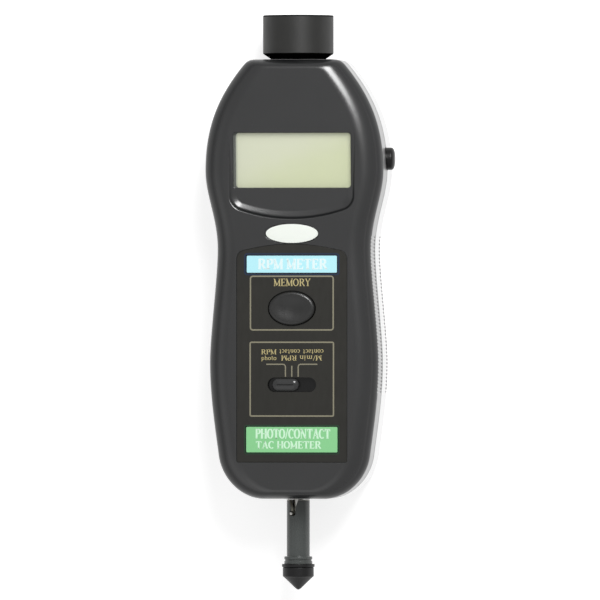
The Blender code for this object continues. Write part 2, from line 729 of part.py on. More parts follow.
def make_rear_case(black):
    """Rear shell with the battery bay, the cover's channel, bosses and parting lip."""
    case = loft("rear_case", rear_levels(AXIS_Z - PARTING), black)
    cut(case, loft("rear_hollow", rear_levels(AXIS_Z + WALL, WALL, INNER_FILLET_STEPS)))
    lip_outer = WALL - LIP_THICKNESS
    lip = loft("parting_lip", [(AXIS_Z - 2 * WALL, lip_outer, lip_outer),
                               (AXIS_Z + LIP_HEIGHT - PARTING, lip_outer, lip_outer)])
    cut(lip, loft("lip_hollow", [(AXIS_Z - 3 * WALL, WALL, WALL), (AXIS_Z + 2 * WALL, WALL, WALL)]))
    join(case, lip)
    ledge = COVER_HALF_WIDTH + TONGUE_WIDTH + WALL / 2
    channel_floor = CHANNEL_Z + WALL
    floor = box("channel_floor", (-ledge, BOTTOM_Y, 0), (ledge, COVER_TOP_Y + WALL, channel_floor))
    combine(floor, loft("channel_limit", rear_levels(AXIS_Z, WALL / 2)), "INTERSECT")
    join(case, floor)
    bay_half = BAY_HALF_WIDTH + BAY_WALL
    bay_end = BAY_LENGTH / 2 + BAY_WALL
    join(case, box("bay_walls", (-bay_half, -bay_end, WALL / 2),
                   (bay_half, bay_end, BAY_ROOF_Z + BAY_WALL)))
    join(case, barrel_cradle("rear_cradle", WALL / 2, AXIS_Z - PARTING))
    join(case, *sensor_board_posts(), *bearing_rails())
    for index, spot in enumerate(both_sides(CASE_SCREW_PLACES)):
        join(case, screw_boss(f"rear_boss_{index}", spot, BOSS_RADIUS, WALL / 2, AXIS_Z - PARTING))
        cut(case, screw_boss(f"screw_hole_{index}", spot, SCREW_RADIUS + CLEARANCE, 0, AXIS_Z + WALL))
        cut(case, screw_boss(f"screw_well_{index}", spot, SCREW_HEAD_RADIUS + CLEARANCE,
                             -WALL, SCREW_SEAT_Z))
    cut(case, box("bay_room", (-BAY_HALF_WIDTH, -BAY_LENGTH / 2, -WALL),
                  (BAY_HALF_WIDTH, BAY_LENGTH / 2, BAY_ROOF_Z)))
    cut(case, cover_blank("cover_channel", CLEARANCE))
    cut(case, rib_comb("rear_right_ribs", 1, REAR_RIB_LOW_Z, REAR_RIB_HIGH_Z),
        rib_comb("rear_left_ribs", -1, REAR_RIB_LOW_Z, REAR_RIB_HIGH_Z))
    cut(case, *shared_cutters("rear"))
    return case


def sensor_board_posts():
    """Two slotted posts that hold the sensor board's lower corners."""
    front = sensor_board_front() + CLEARANCE
    back = front - BOARD_THICKNESS - 2 * CLEARANCE
    edge = SENSOR_BOARD_SIZE / 2
    low = AXIS_Z - edge
    posts = []
    for name, side in (("right", 1), ("left", -1)):
        inner, outer = sorted((side * (edge - WALL), side * (edge + WALL / 2)))
        post = box(f"sensor_post_{name}", (inner, back - RAIL_WIDTH, WALL / 2),
                   (outer, front + CLEARANCE, low + WALL))
        cut(post, box(f"sensor_slot_{name}", (-edge - CLEARANCE, back, low - CLEARANCE),
                      (edge + CLEARANCE, front, AXIS_Z)))
        posts.append(post)
    return posts


def bearing_rails():
    """Two rails that the bearing block drops between."""
    rails = []
    for name, side in (("right", 1), ("left", -1)):
        near = side * (BLOCK_WIDTH / 2 + CLEARANCE)
        inner, outer = sorted((near, near + side * RAIL_WIDTH))
        rails.append(box(f"bearing_rail_{name}", (inner, BLOCK_OUTER_Y, CHANNEL_Z + WALL / 2),
                         (outer, BLOCK_INNER_Y, AXIS_Z - BEARING_RADIUS)))
    return rails


def make_battery_cover(black):
    """Sliding cover: the housing's own back surface, on a tongued bar, with a thumb grip."""
    cover = loft("battery_cover", rear_levels(AXIS_Z), black)
    combine(cover, cover_blank("cover_bar"), "INTERSECT")
    half = GRIP_WIDTH / 2
    for index in range(GRIP_RIDGES):
        low = COVER_TOP_Y - (index + 2) * GRIP_PITCH
        cut(cover, box(f"grip_groove_{index}", (-half, low, -WALL), (half, low + GRIP_PITCH / 2, GRIP_DEPTH)))
    return cover


def make_display(clear, glass, grey, rubber):
    """Window pane, liquid-crystal panel, its frame and the two connector strips."""
    grow = 2 * WINDOW_LEDGE
    pane_top = -WINDOW_LIP - CLEARANCE
    pane = flat("display_window", [rounded_rectangle(
        WINDOW_WIDTH + grow, WINDOW_HEIGHT + grow, WINDOW_CORNER, (0, WINDOW_Y))],
        pane_top - PANE_THICKNESS, pane_top, clear)
    lcd_top = pane_top - PANE_THICKNESS - CLEARANCE
    lcd = flat("lcd_panel", [rounded_rectangle(
        WINDOW_WIDTH + grow / 2, WINDOW_HEIGHT + grow / 2, WINDOW_CORNER / 2, (0, WINDOW_Y))],
        lcd_top - LCD_THICKNESS, lcd_top, glass)
    tilt_display(pane, lcd)
    slope = math.atan2(RECESS_DEPTH, RECESS_TOP_Y - RECESS_APEX_Y)
    inner = (WINDOW_WIDTH + grow / 2 + 2 * CLEARANCE, WINDOW_HEIGHT + grow / 2 + 2 * CLEARANCE)
    frame_low = BOARD_FACE_Z + CLEARANCE
    frame_high = INNER_FRONT_Z - RECESS_DEPTH - 2 * CLEARANCE
    outer = (inner[0] + 2 * LCD_FRAME_WALL, inner[1] + 2 * LCD_FRAME_WALL)
    flat("lcd_frame", [rounded_rectangle(*outer, WINDOW_CORNER, (0, WINDOW_Y)),
                       rounded_rectangle(*inner, WINDOW_CORNER / 2, (0, WINDOW_Y))],
         frame_low, frame_high, grey)
    reach = WINDOW_HEIGHT / 2 - ZEBRA_THICKNESS / 2
    for label, side in (("upper", 1), ("lower", -1)):
        y = WINDOW_Y + side * reach
        floor = HOUSING_DEPTH - (RECESS_TOP_Y - y + ZEBRA_THICKNESS) * math.tan(slope)
        top = floor + lcd_top - LCD_THICKNESS - CLEARANCE
        half = (WINDOW_WIDTH - 2 * LCD_FRAME_WALL) / 2
        box(f"zebra_strip_{label}", (-half, y - ZEBRA_THICKNESS / 2, frame_low),
            (half, y + ZEBRA_THICKNESS / 2, top), rubber)


def make_face(panel_black, blue, green, pearl):
    """Face panel with its cut-outs, the two colour strips and the oval badge."""
    low = HOUSING_DEPTH - PANEL_RECESS + CLEARANCE
    high = low + PANEL_THICKNESS
    gap = 2 * CLEARANCE
    holes = [
        memory_outline(CLEARANCE),
        stadium(SLOT_WIDTH, SLOT_HEIGHT, (0, MODE_Y)),
        rounded_rectangle(BLUE_WIDTH + gap, BLUE_HEIGHT + gap, LABEL_CORNER, (0, BLUE_Y)),
        rounded_rectangle(GREEN_WIDTH + gap, GREEN_HEIGHT + gap, LABEL_CORNER, (0, GREEN_Y)),
    ]
    flat("face_panel", [panel_outline(CLEARANCE)] + holes, low, high, panel_black)
    flat("blue_strip", [rounded_rectangle(BLUE_WIDTH, BLUE_HEIGHT, LABEL_CORNER, (0, BLUE_Y))],
         low, high, blue)
    flat("green_strip", [rounded_rectangle(GREEN_WIDTH, GREEN_HEIGHT, LABEL_CORNER, (0, GREEN_Y))],
         low, high, green)
    flat("oval_badge", [ellipse(BADGE_WIDTH, BADGE_HEIGHT, (0, BADGE_Y))], low, high, pearl)


def oval_rings(name, rings, material):
    """Stack ellipses of the memory button: (z, width, height) from the top down."""
    mesh = bpy.data.meshes.new(name)
    shape = bmesh.new()
    loops = []
    for z, width, height in rings:
        loops.append([shape.verts.new((x, y, z)) for x, y in ellipse(width, height)])
    for upper, lower in zip(loops, loops[1:]):
        for index in range(len(upper)):
            after = (index + 1) % len(upper)
            shape.faces.new((upper[index], lower[index], lower[after], upper[after]))
    shape.faces.new(loops[0])
    shape.faces.new(list(reversed(loops[-1])))
    bmesh.ops.recalc_face_normals(shape, faces=shape.faces)
    shape.to_mesh(mesh)
    shape.free()
    shade(mesh)
    return place(name, mesh, material, (0, MEMORY_Y, 0))


def make_switch(name, centre, direction, reach, travel, grey, metal):
    """Push switch: a square body with a round well, and its plunger.

    The body's back is at the centre, and the plunger's face is at the reach from it.
    """
    centre = Vector(centre)
    forward = Vector(direction)
    half = SWITCH_SIZE / 2
    side = Vector((half, half, half)) - forward * half
    body = box(name + "_switch", centre - side, centre + side + forward * SWITCH_HEIGHT, grey)
    floor = centre + forward * (SWITCH_HEIGHT - PLUNGER_INSERT - travel - CLEARANCE)
    well = cylinder(name + "_well", PLUNGER_RADIUS + CLEARANCE, floor,
                    centre + forward * 2 * SWITCH_HEIGHT, segments=16)
    cut(body, well)
    cylinder(name + "_plunger", PLUNGER_RADIUS, centre + forward * (SWITCH_HEIGHT - PLUNGER_INSERT),
             centre + forward * reach, metal, segments=16)


def make_memory_button(rubber, grey, metal):
    """Oval cap with a rounded rim, a dished face and a retaining flange, over its switch."""
    top = HOUSING_DEPTH + MEMORY_PROUD
    flange_top = INNER_FRONT_Z - CLEARANCE
    wide, tall = MEMORY_WIDTH, MEMORY_HEIGHT
    rim = MEMORY_PROUD
    rings = [(top - MEMORY_DISH, wide * 0.3, tall * 0.3), (top - MEMORY_DISH * 0.6, wide * 0.6, tall * 0.6)]
    for step in range(5):
        angle = math.pi / 2 * step / 4
        draw = 2 * rim * (1 - math.sin(angle))
        rings.append((top - rim * (1 - math.cos(angle)), wide - draw, tall - draw))
    rings.append((flange_top, wide, tall))
    rings.append((flange_top, wide + 2 * MEMORY_FLANGE, tall + 2 * MEMORY_FLANGE))
    flange_low = flange_top - FLANGE_THICKNESS
    rings.append((flange_low, wide + 2 * MEMORY_FLANGE, tall + 2 * MEMORY_FLANGE))
    oval_rings("memory_button", rings, rubber)
    base = BOARD_FACE_Z + CLEARANCE
    make_switch("memory", (0, MEMORY_Y, base), (0, 0, 1), flange_low - CLEARANCE - base,
                MEMORY_TRAVEL, grey, metal)


def make_mode_switch(gloss, grey, metal):
    """Three-position slide: knob with its shutter plate, lever and switch body."""
    x = -MODE_STEP
    knob_height = SLOT_HEIGHT - 2 * CLEARANCE
    plate_top = INNER_FRONT_Z - CLEARANCE
    plate_low = plate_top - SHUTTER_THICKNESS
    knob = flat("mode_knob", [stadium(KNOB_WIDTH, knob_height)], plate_low,
                HOUSING_DEPTH + KNOB_PROUD, gloss)
    knob.location.x = x
    knob.location.y = MODE_Y
    crown = knob.modifiers.new("crown", "BEVEL")
    crown.width = KNOB_PROUD * 1.5
    crown.segments = 3
    crown.limit_method = "ANGLE"
    shutter_width = SLOT_WIDTH + 4 * MODE_STEP
    shutter = flat("mode_shutter", [rounded_rectangle(
        shutter_width, SLOT_HEIGHT + 2 * WALL, WALL / 2, (x, MODE_Y))], plate_low, plate_top)
    join(knob, shutter)
    switch_top = BOARD_FACE_Z + CLEARANCE + SWITCH_HEIGHT
    socket_top = plate_top + SHUTTER_THICKNESS
    lever_half = LEVER_SIZE / 2
    room = lever_half + CLEARANCE
    cut(knob, box("lever_socket", (x - room, MODE_Y - room, plate_low - WALL),
                  (x + room, MODE_Y + room, socket_top)))
    body_half = KNOB_WIDTH * 0.75
    body = box("mode_switch", (-body_half, MODE_Y - SLOT_HEIGHT / 2, BOARD_FACE_Z + CLEARANCE),
               (body_half, MODE_Y + SLOT_HEIGHT / 2, switch_top), grey)
    track = MODE_STEP + room
    cut(body, box("lever_track", (-track, MODE_Y - room, switch_top - PLUNGER_INSERT),
                  (track, MODE_Y + room, switch_top + WALL)))
    box("mode_lever", (x - lever_half, MODE_Y - lever_half, switch_top - PLUNGER_INSERT + CLEARANCE),
        (x + lever_half, MODE_Y + lever_half, socket_top - CLEARANCE), metal)


def make_measure_button(black, grey, metal, board_green):
    """Round side button with a domed end and a flange, its switch and the switch's board."""
    side = half_width_at(MEASURE_Y)
    radius = MEASURE_DIAMETER / 2
    dome = radius * 0.35
    tip = side + MEASURE_PROUD
    flange_edge = MEASURE_Y + radius + MEASURE_FLANGE
    flange_front = drawn_in(half_width_at(flange_edge), WALL) - CLEARANCE
    flange_back = flange_front - FLANGE_THICKNESS
    profile = [(0, tip)]
    for step in range(1, 6):
        angle = math.pi / 2 * step / 5
        profile.append((radius * math.sin(angle), tip - dome * (1 - math.cos(angle))))
    profile += [(radius, flange_front), (radius + MEASURE_FLANGE, flange_front),
                (radius + MEASURE_FLANGE, flange_back), (0, flange_back)]
    turned("measure_button", profile, black, (0, MEASURE_Y, AXIS_Z), "+X", 24)
    board_x = BOARD_HALF_WIDTH - 2 * BOARD_THICKNESS / 2
    half = SWITCH_SIZE * 0.75
    box("switch_board", (board_x - BOARD_THICKNESS, MEASURE_Y - half, AXIS_Z - half),
        (board_x, MEASURE_Y + half, BOARD_BACK_Z - CLEARANCE), board_green)
    back = board_x + CLEARANCE
    make_switch("measure", (back, MEASURE_Y, AXIS_Z), (1, 0, 0), flange_back - CLEARANCE - back,
                MEASURE_TRAVEL, grey, metal)


def barrel_tail():
    """Where the lens barrel's tail ends inside the housing."""
    return TOP_Y - WALL - CLEARANCE - WALL / 2 - TAIL_LENGTH


def sensor_board_front():
    """The sensor board's face, just behind its holder."""
    return barrel_tail() - HOLDER_LENGTH / 2 - CLEARANCE


def make_photo_head(black, clear, board_green, dark_glass):
    """Lens barrel, lens and its ring, the light source, the sensor, their holder and board."""
    front, rear = BARREL_FRONT_Y, BARREL_REAR_Y
    inner_wall = TOP_Y - WALL
    flange_front = inner_wall - CLEARANCE
    flange_back = flange_front - WALL / 2
    tail = barrel_tail()
    lens_seat = front - LENS_SETBACK - LENS_RING_LENGTH - LENS_EDGE - 2 * CLEARANCE
    bore, neck_bore = BARREL_BORE_RADIUS, TAIL_BORE_RADIUS
    profile = [
        (BARREL_RADIUS - BARREL_RIM, front), (BARREL_RADIUS, front - BARREL_RIM),
        (BARREL_RADIUS, rear), (NECK_RADIUS, TOP_Y + CLEARANCE),
        (NECK_RADIUS, flange_front), (NECK_RADIUS + BARREL_FLANGE, flange_front),
        (NECK_RADIUS + BARREL_FLANGE, flange_back), (NECK_RADIUS, flange_back),
        (NECK_RADIUS, tail), (neck_bore, tail), (neck_bore, rear),
        (bore - LENS_STEP, rear + LENS_STEP), (bore - LENS_STEP, lens_seat), (bore, lens_seat),
        (bore, front - BARREL_RIM), (bore + BARREL_RIM, front)]
    turned("lens_barrel", profile, black, (0, 0, AXIS_Z), "+Y", 32)
    lens_rim = bore - CLEARANCE
    lens_back = lens_seat + CLEARANCE
    lens_front = lens_back + LENS_EDGE
    profile = [(0, lens_back + LENS_CROWN + LENS_EDGE / 2)]
    for step in range(1, 7):
        share = step / 6
        sag = LENS_CROWN * (1 - share ** 2)
        profile.append((lens_rim * share, lens_back + LENS_EDGE / 2 + sag))
    profile += [(lens_rim, lens_back), (0, lens_back)]
    turned("front_lens", profile, clear, (0, 0, AXIS_Z), "+Y", 24)
    ring_back = lens_front + CLEARANCE
    turned("lens_ring", [(lens_rim, ring_back + LENS_RING_LENGTH), (lens_rim, ring_back),
                         (lens_rim - LENS_RING_WALL, ring_back),
                         (lens_rim - LENS_RING_WALL, ring_back + LENS_RING_LENGTH)],
           black, (0, 0, AXIS_Z), "+Y", 24)
    nose = neck_bore - CLEARANCE
    holder_back = tail - HOLDER_LENGTH / 2
    holder = turned("sensor_holder", [(0, tail + HOLDER_LENGTH / 2), (nose, tail + HOLDER_LENGTH / 2),
                                      (nose, tail - CLEARANCE), (NECK_RADIUS, tail - CLEARANCE),
                                      (NECK_RADIUS, holder_back), (0, holder_back)],
                    black, (0, 0, AXIS_Z), "+Y", 24)
    board_front = sensor_board_front()
    half = SENSOR_BOARD_SIZE / 2
    box("sensor_board", (-half, board_front - BOARD_THICKNESS, AXIS_Z - half),
        (half, board_front, AXIS_Z + half / 2), board_green)
    parts_list = (("light_source", 1, clear), ("photo_sensor", -1, dark_glass))
    for name, side, material in parts_list:
        x = side * EMITTER_OFFSET
        cut(holder, cylinder(name + "_bore", EMITTER_RADIUS + CLEARANCE,
                             (x, holder_back - WALL, AXIS_Z), (x, TOP_Y, AXIS_Z), segments=16))
        base = board_front + CLEARANCE
        length = HOLDER_LENGTH * 0.8
        turned(name, [(0, base + length), (EMITTER_RADIUS * 0.7, base + length - EMITTER_RADIUS * 0.3),
                      (EMITTER_RADIUS, base + length - EMITTER_RADIUS), (EMITTER_RADIUS, base),
                      (0, base)], material, (x, 0, AXIS_Z), "+Y", 16)


def disc_outline():
    """Rim of the encoder disc with an open slot between each pair of teeth."""
    outline = []
    for tooth in range(DISC_SLOTS):
        for quarter, radius in ((0.0, DISC_RADIUS), (0.5, DISC_RADIUS),
                                (0.5, DISC_RADIUS - DISC_SLOT_DEPTH), (1.0, DISC_RADIUS - DISC_SLOT_DEPTH)):
            angle = 2 * math.pi * (tooth + quarter) / DISC_SLOTS
            outline.append((radius * math.cos(angle), radius * math.sin(angle)))
    return outline


def make_contact_drive(steel, bronze, grey, dark, board_green):
    """Spindle with its cross pin, bearings in their block, slotted disc and light gate."""
    axis = (0, 0, AXIS_Z)
    bore = SPINDLE_RADIUS + CLEARANCE
    outer_bearing = BLOCK_OUTER_Y + CLEARANCE + BEARING_LENGTH
    collar_y = outer_bearing + CLEARANCE
    spindle = turned("spindle", [
        (0, SPINDLE_INNER_Y), (SPINDLE_RADIUS, SPINDLE_INNER_Y),
        (SPINDLE_RADIUS, collar_y + COLLAR_LENGTH), (COLLAR_RADIUS, collar_y + COLLAR_LENGTH),
        (COLLAR_RADIUS, collar_y), (SPINDLE_RADIUS, collar_y),
        (SPINDLE_RADIUS, SPINDLE_OUTER_Y), (0, SPINDLE_OUTER_Y)], steel, axis, "+Y", 20)
    tilt = Vector((math.sin(PIN_ANGLE), 0, math.cos(PIN_ANGLE)))
    centre = Vector((0, PIN_Y, AXIS_Z))
    reach = SLEEVE_RADIUS + CLEARANCE / 2
    cylinder("cross_pin", PIN_RADIUS, centre - tilt * reach, centre + tilt * reach, steel, 16)
    cut(spindle, cylinder("pin_hole", PIN_RADIUS + CLEARANCE, centre - tilt * 2 * reach,
                          centre + tilt * 2 * reach, segments=16))
    block_half = BLOCK_WIDTH / 2
    foot = CHANNEL_Z + WALL + CLEARANCE
    block = box("bearing_block", (-block_half, BLOCK_OUTER_Y, foot),
                (block_half, BLOCK_INNER_Y, AXIS_Z + BLOCK_HEIGHT_OVER_AXIS), grey)
    cut(block, cylinder("block_bore", BEARING_RADIUS + CLEARANCE, (0, BLOCK_OUTER_Y - WALL, AXIS_Z),
                        (0, BLOCK_INNER_Y + WALL, AXIS_Z)))
    inner_bearing = BLOCK_INNER_Y - CLEARANCE
    for name, y in (("bearing_outer", outer_bearing), ("bearing_inner", inner_bearing)):
        turned(name, [(BEARING_RADIUS, y), (BEARING_RADIUS, y - BEARING_LENGTH),
                      (bore, y - BEARING_LENGTH), (bore, y)], bronze, axis, "+Y", 20)
    clip = BLOCK_INNER_Y
    turned("spindle_clip", [(COLLAR_RADIUS, clip + CLIP_THICKNESS), (COLLAR_RADIUS, clip),
                            (bore, clip), (bore, clip + CLIP_THICKNESS)], steel, axis, "+Y", 20)
    disc_back, hub_end = DISC_Y, HUB_OUTER_Y
    disc = flat("encoder_disc", [disc_outline(), arc((0, 0), bore, 0, 342, 19)],
                0, DISC_THICKNESS, dark)
    disc.matrix_world = (Matrix.Translation((0, disc_back - DISC_THICKNESS / 2, AXIS_Z))
                         @ Matrix.Rotation(math.radians(90), 4, "X"))
    join(disc, turned("disc_hub", [(HUB_RADIUS, disc_back - DISC_THICKNESS / 2), (HUB_RADIUS, hub_end),
                                   (bore, hub_end), (bore, disc_back - DISC_THICKNESS / 2)],
                      None, axis, "+Y", 20))
    gate_inner = DISC_RADIUS - DISC_SLOT_DEPTH - CLEARANCE
    gate_outer = gate_inner + INTERRUPTER_HEIGHT
    gate_half = INTERRUPTER_WIDTH / 2
    disc_y = disc_back - DISC_THICKNESS / 2
    gate = box("light_gate", (gate_inner, disc_y - gate_half, AXIS_Z - gate_half),
               (gate_outer, disc_y + gate_half, AXIS_Z + gate_half), dark)
    cut(gate, box("gate_gap", (gate_inner - WALL, disc_y - INTERRUPTER_GAP / 2, AXIS_Z - 2 * gate_half),
                  (DISC_RADIUS + 2 * CLEARANCE, disc_y + INTERRUPTER_GAP / 2, AXIS_Z + 2 * gate_half)))
    board_x = gate_outer + CLEARANCE
    box("encoder_board", (board_x, disc_y - 2 * gate_half, AXIS_Z - 2 * gate_half),
        (board_x + BOARD_THICKNESS, disc_y + gate_half, BOARD_BACK_Z - CLEARANCE), board_green)


def make_adaptor(grey, rubber):
    """Contact sleeve with its bayonet slot, and the rubber cone on its nose."""
    top = BOTTOM_Y - CLEARANCE
    bore = SPINDLE_RADIUS + CLEARANCE
    bore_end = SPINDLE_OUTER_Y - CLEARANCE
    nose_end = SLEEVE_COLLAR_END_Y - NOSE_LENGTH
    groove = (SLEEVE_END_Y + SLEEVE_COLLAR_END_Y) / 2
    sleeve = turned("adaptor_sleeve", [
        (0, bore_end), (bore, bore_end), (bore, top), (SLEEVE_RADIUS, top),
        (SLEEVE_RADIUS, SLEEVE_END_Y), (SLEEVE_COLLAR_RADIUS, SLEEVE_END_Y),
        (SLEEVE_COLLAR_RADIUS, groove + CLEARANCE), (SLEEVE_RADIUS, groove + CLEARANCE),
        (SLEEVE_RADIUS, groove - CLEARANCE), (SLEEVE_COLLAR_RADIUS, groove - CLEARANCE),
        (SLEEVE_COLLAR_RADIUS, SLEEVE_COLLAR_END_Y), (NOSE_RADIUS, SLEEVE_COLLAR_END_Y),
        (NOSE_RADIUS, nose_end), (0, nose_end)], grey, (0, 0, AXIS_Z), "+Y", 28)
    half = PIN_RADIUS + CLEARANCE
    reach = SLEEVE_RADIUS + WALL
    mouth = SLOT_MOUTH / 2
    outline = arc((0, PIN_Y), half, 180, 360, 6)
    outline += [(half, top - SLOT_FUNNEL), (mouth, top), (mouth, top + WALL),
                (-mouth, top + WALL), (-mouth, top), (-half, top - SLOT_FUNNEL)]
    slot = flat("bayonet_slot", [outline], -reach, reach)
    slot.location.z += AXIS_Z
    slot.rotation_euler.y = SLOT_ANGLE
    tilt = Vector((math.sin(PIN_ANGLE), 0, math.cos(PIN_ANGLE)))
    centre = Vector((0, PIN_Y, AXIS_Z))
    hook = cylinder("bayonet_hook", half, centre - tilt * reach, centre + tilt * reach, segments=16)
    cut(sleeve, slot, hook)
    seat = SLEEVE_COLLAR_END_Y - CLEARANCE
    body = seat - CONE_FLANGE_LENGTH
    base = body - CONE_BODY_LENGTH
    socket = NOSE_RADIUS + CLEARANCE
    profile = [(0, nose_end - CLEARANCE), (socket, nose_end - CLEARANCE), (socket, seat),
               (CONE_FLANGE_RADIUS, seat), (CONE_FLANGE_RADIUS, body), (CONE_BODY_RADIUS, body),
               (CONE_BODY_RADIUS, base), (CONE_BASE_RADIUS, base)]
    apex = base - CONE_LENGTH
    slant = math.atan2(CONE_BASE_RADIUS, CONE_LENGTH)
    for step in range(4):
        angle = slant + (math.pi / 2 - slant) * step / 4
        centre_y = apex + CONE_TIP_RADIUS
        profile.append((CONE_TIP_RADIUS * math.cos(angle), centre_y - CONE_TIP_RADIUS * math.sin(angle)))
    profile.append((0, apex))
    turned("cone_tip", profile, rubber, (0, 0, AXIS_Z), "+Y", 28)


def make_batteries(jacket, metal):
    """Four cells in two columns, with end plates and springs."""
    pitch = CELL_RADIUS + CLEARANCE
    length = CELL_LENGTH
    span = 2 * length + CLEARANCE
    for column, x, way in (("left", -pitch, 1), ("right", pitch, -1)):
        for row, low in (("lower", -span / 2), ("upper", span / 2 - length)):
            tip = low + length if way > 0 else low
            tail = low if way > 0 else low + length
            shoulder = tip - way * NUB_LENGTH
            profile = [(0, tip), (NUB_RADIUS, tip), (NUB_RADIUS, shoulder), (CELL_RADIUS, shoulder),
                       (CELL_RADIUS, tail), (0, tail)]
            if way < 0:
                profile.reverse()
            turned(f"cell_{column}_{row}", profile, jacket, (x, 0, CELL_Z), "+Y", 20)
    plate_outer = BAY_LENGTH / 2 - CLEARANCE
    plate_inner = plate_outer - CONTACT_THICKNESS
    half = CELL_RADIUS * 0.8
    for label, end, columns in (("upper", 1, (("left", -pitch), ("right", pitch))),
                                ("lower", -1, (("bridge", 0),))):
        for column, x in columns:
            wide = half if column != "bridge" else half + pitch
            low, high = sorted((end * plate_inner, end * plate_outer))
            box(f"contact_{label}_{column}", (x - wide, low, CELL_Z - half),
                (x + wide, high, CELL_Z + half), metal)
    for name, x, end in (("spring_upper", pitch, 1), ("spring_lower", -pitch, -1)):
        make_spring(name, x, end, plate_inner - CLEARANCE, span / 2 + CLEARANCE, metal)


def make_spring(name, x, end, base, tip, metal):
    """Conical contact spring along Y, wide at the plate and narrow at the cell."""
    per_turn = 10
    count = SPRING_TURNS * per_turn
    curve = bpy.data.curves.new(name, "CURVE")
    curve.dimensions = "3D"
    curve.bevel_depth = SPRING_WIRE
    curve.bevel_resolution = 1
    curve.use_fill_caps = True
    spline = curve.splines.new("POLY")
    spline.points.add(count)
    for index, point in enumerate(spline.points):
        share = index / count
        angle = 2 * math.pi * index / per_turn
        radius = SPRING_RADIUS + share * (SPRING_TIP_RADIUS - SPRING_RADIUS)
        y = end * (base - SPRING_WIRE + share * (tip + 2 * SPRING_WIRE - base))
        point.co = (radius * math.cos(angle), y, radius * math.sin(angle), 1)
    obj = bpy.data.objects.new(name, curve)
    obj.location = (x, 0, CELL_Z)
    curve.materials.append(metal)
    parts.objects.link(obj)


def make_boards(board_green, chip, metal):
    """Main board with its stepped outline, screw holes and largest components."""
    step = BOARD_NARROW_HALF_WIDTH
    tab_inner = DISC_RADIUS + WALL
    tab_outer = BOARD_HALF_WIDTH - BOARD_THICKNESS
    tab_end = HUB_OUTER_Y - HUB_LENGTH
    outline = [(BOARD_HALF_WIDTH, BOARD_TOP_Y), (-BOARD_HALF_WIDTH, BOARD_TOP_Y),
               (-BOARD_HALF_WIDTH, BOARD_STEP_Y), (-step, BOARD_STEP_Y), (-step, BOARD_BOTTOM_Y),
               (tab_inner, BOARD_BOTTOM_Y), (tab_inner, tab_end), (tab_outer, tab_end),
               (tab_outer, BOARD_BOTTOM_Y + BOSS_RADIUS), (step, BOARD_BOTTOM_Y + BOSS_RADIUS),
               (step, BOARD_STEP_Y), (BOARD_HALF_WIDTH, BOARD_STEP_Y)]
    holes = []
    for spot in both_sides(BOARD_SCREW_PLACES):
        holes.append(arc(spot, BOARD_SCREW_RADIUS + CLEARANCE, 0, 330, 11))
    flat("main_board", [outline] + holes, BOARD_BACK_Z, BOARD_FACE_Z, board_green)
    under = BOARD_BACK_Z - CLEARANCE
    half = CHIP_SIZE / 2
    box("microcontroller", (-half, CHIP_Y - half, under - CHIP_HEIGHT), (half, CHIP_Y + half, under),
        chip, CLEARANCE)
    flat("crystal", [stadium(CRYSTAL_WIDTH, CRYSTAL_DEPTH, (0, CRYSTAL_Y))],
         under - CRYSTAL_HEIGHT, under, metal)


def make_screws(steel):
    """Case screws from the back, and board screws into the front shell's bosses."""
    for index, (x, y) in enumerate(both_sides(CASE_SCREW_PLACES)):
        head = SCREW_SEAT_Z - CLEARANCE
        screw("case_screw_" + str(index + 1), x, y, head, SCREW_HEAD_RADIUS, SCREW_HEAD_HEIGHT,
              SCREW_RADIUS, AXIS_Z + SCREW_GRIP, steel)
    for index, (x, y) in enumerate(both_sides(BOARD_SCREW_PLACES)):
        head = BOARD_BACK_Z - CLEARANCE
        screw("board_screw_" + str(index + 1), x, y, head, 2 * BOARD_SCREW_RADIUS, SCREW_HEAD_HEIGHT / 2,
              BOARD_SCREW_RADIUS, BOARD_FACE_Z + BOARD_SCREW_LENGTH, steel)


def screw(name, x, y, seat, head_radius, head_height, radius, tip, steel):
    """Pan-head screw pointing up: its head lies under the seat, its point ends at the tip."""
    turned(name, [(0, tip), (radius * 0.6, tip), (radius, tip - radius), (radius, seat),
                  (head_radius, seat), (head_radius, seat - head_height / 2),
                  (head_radius * 0.7, seat - head_height), (0, seat - head_height)],
           steel, (x, y, 0), "+Z", 10)


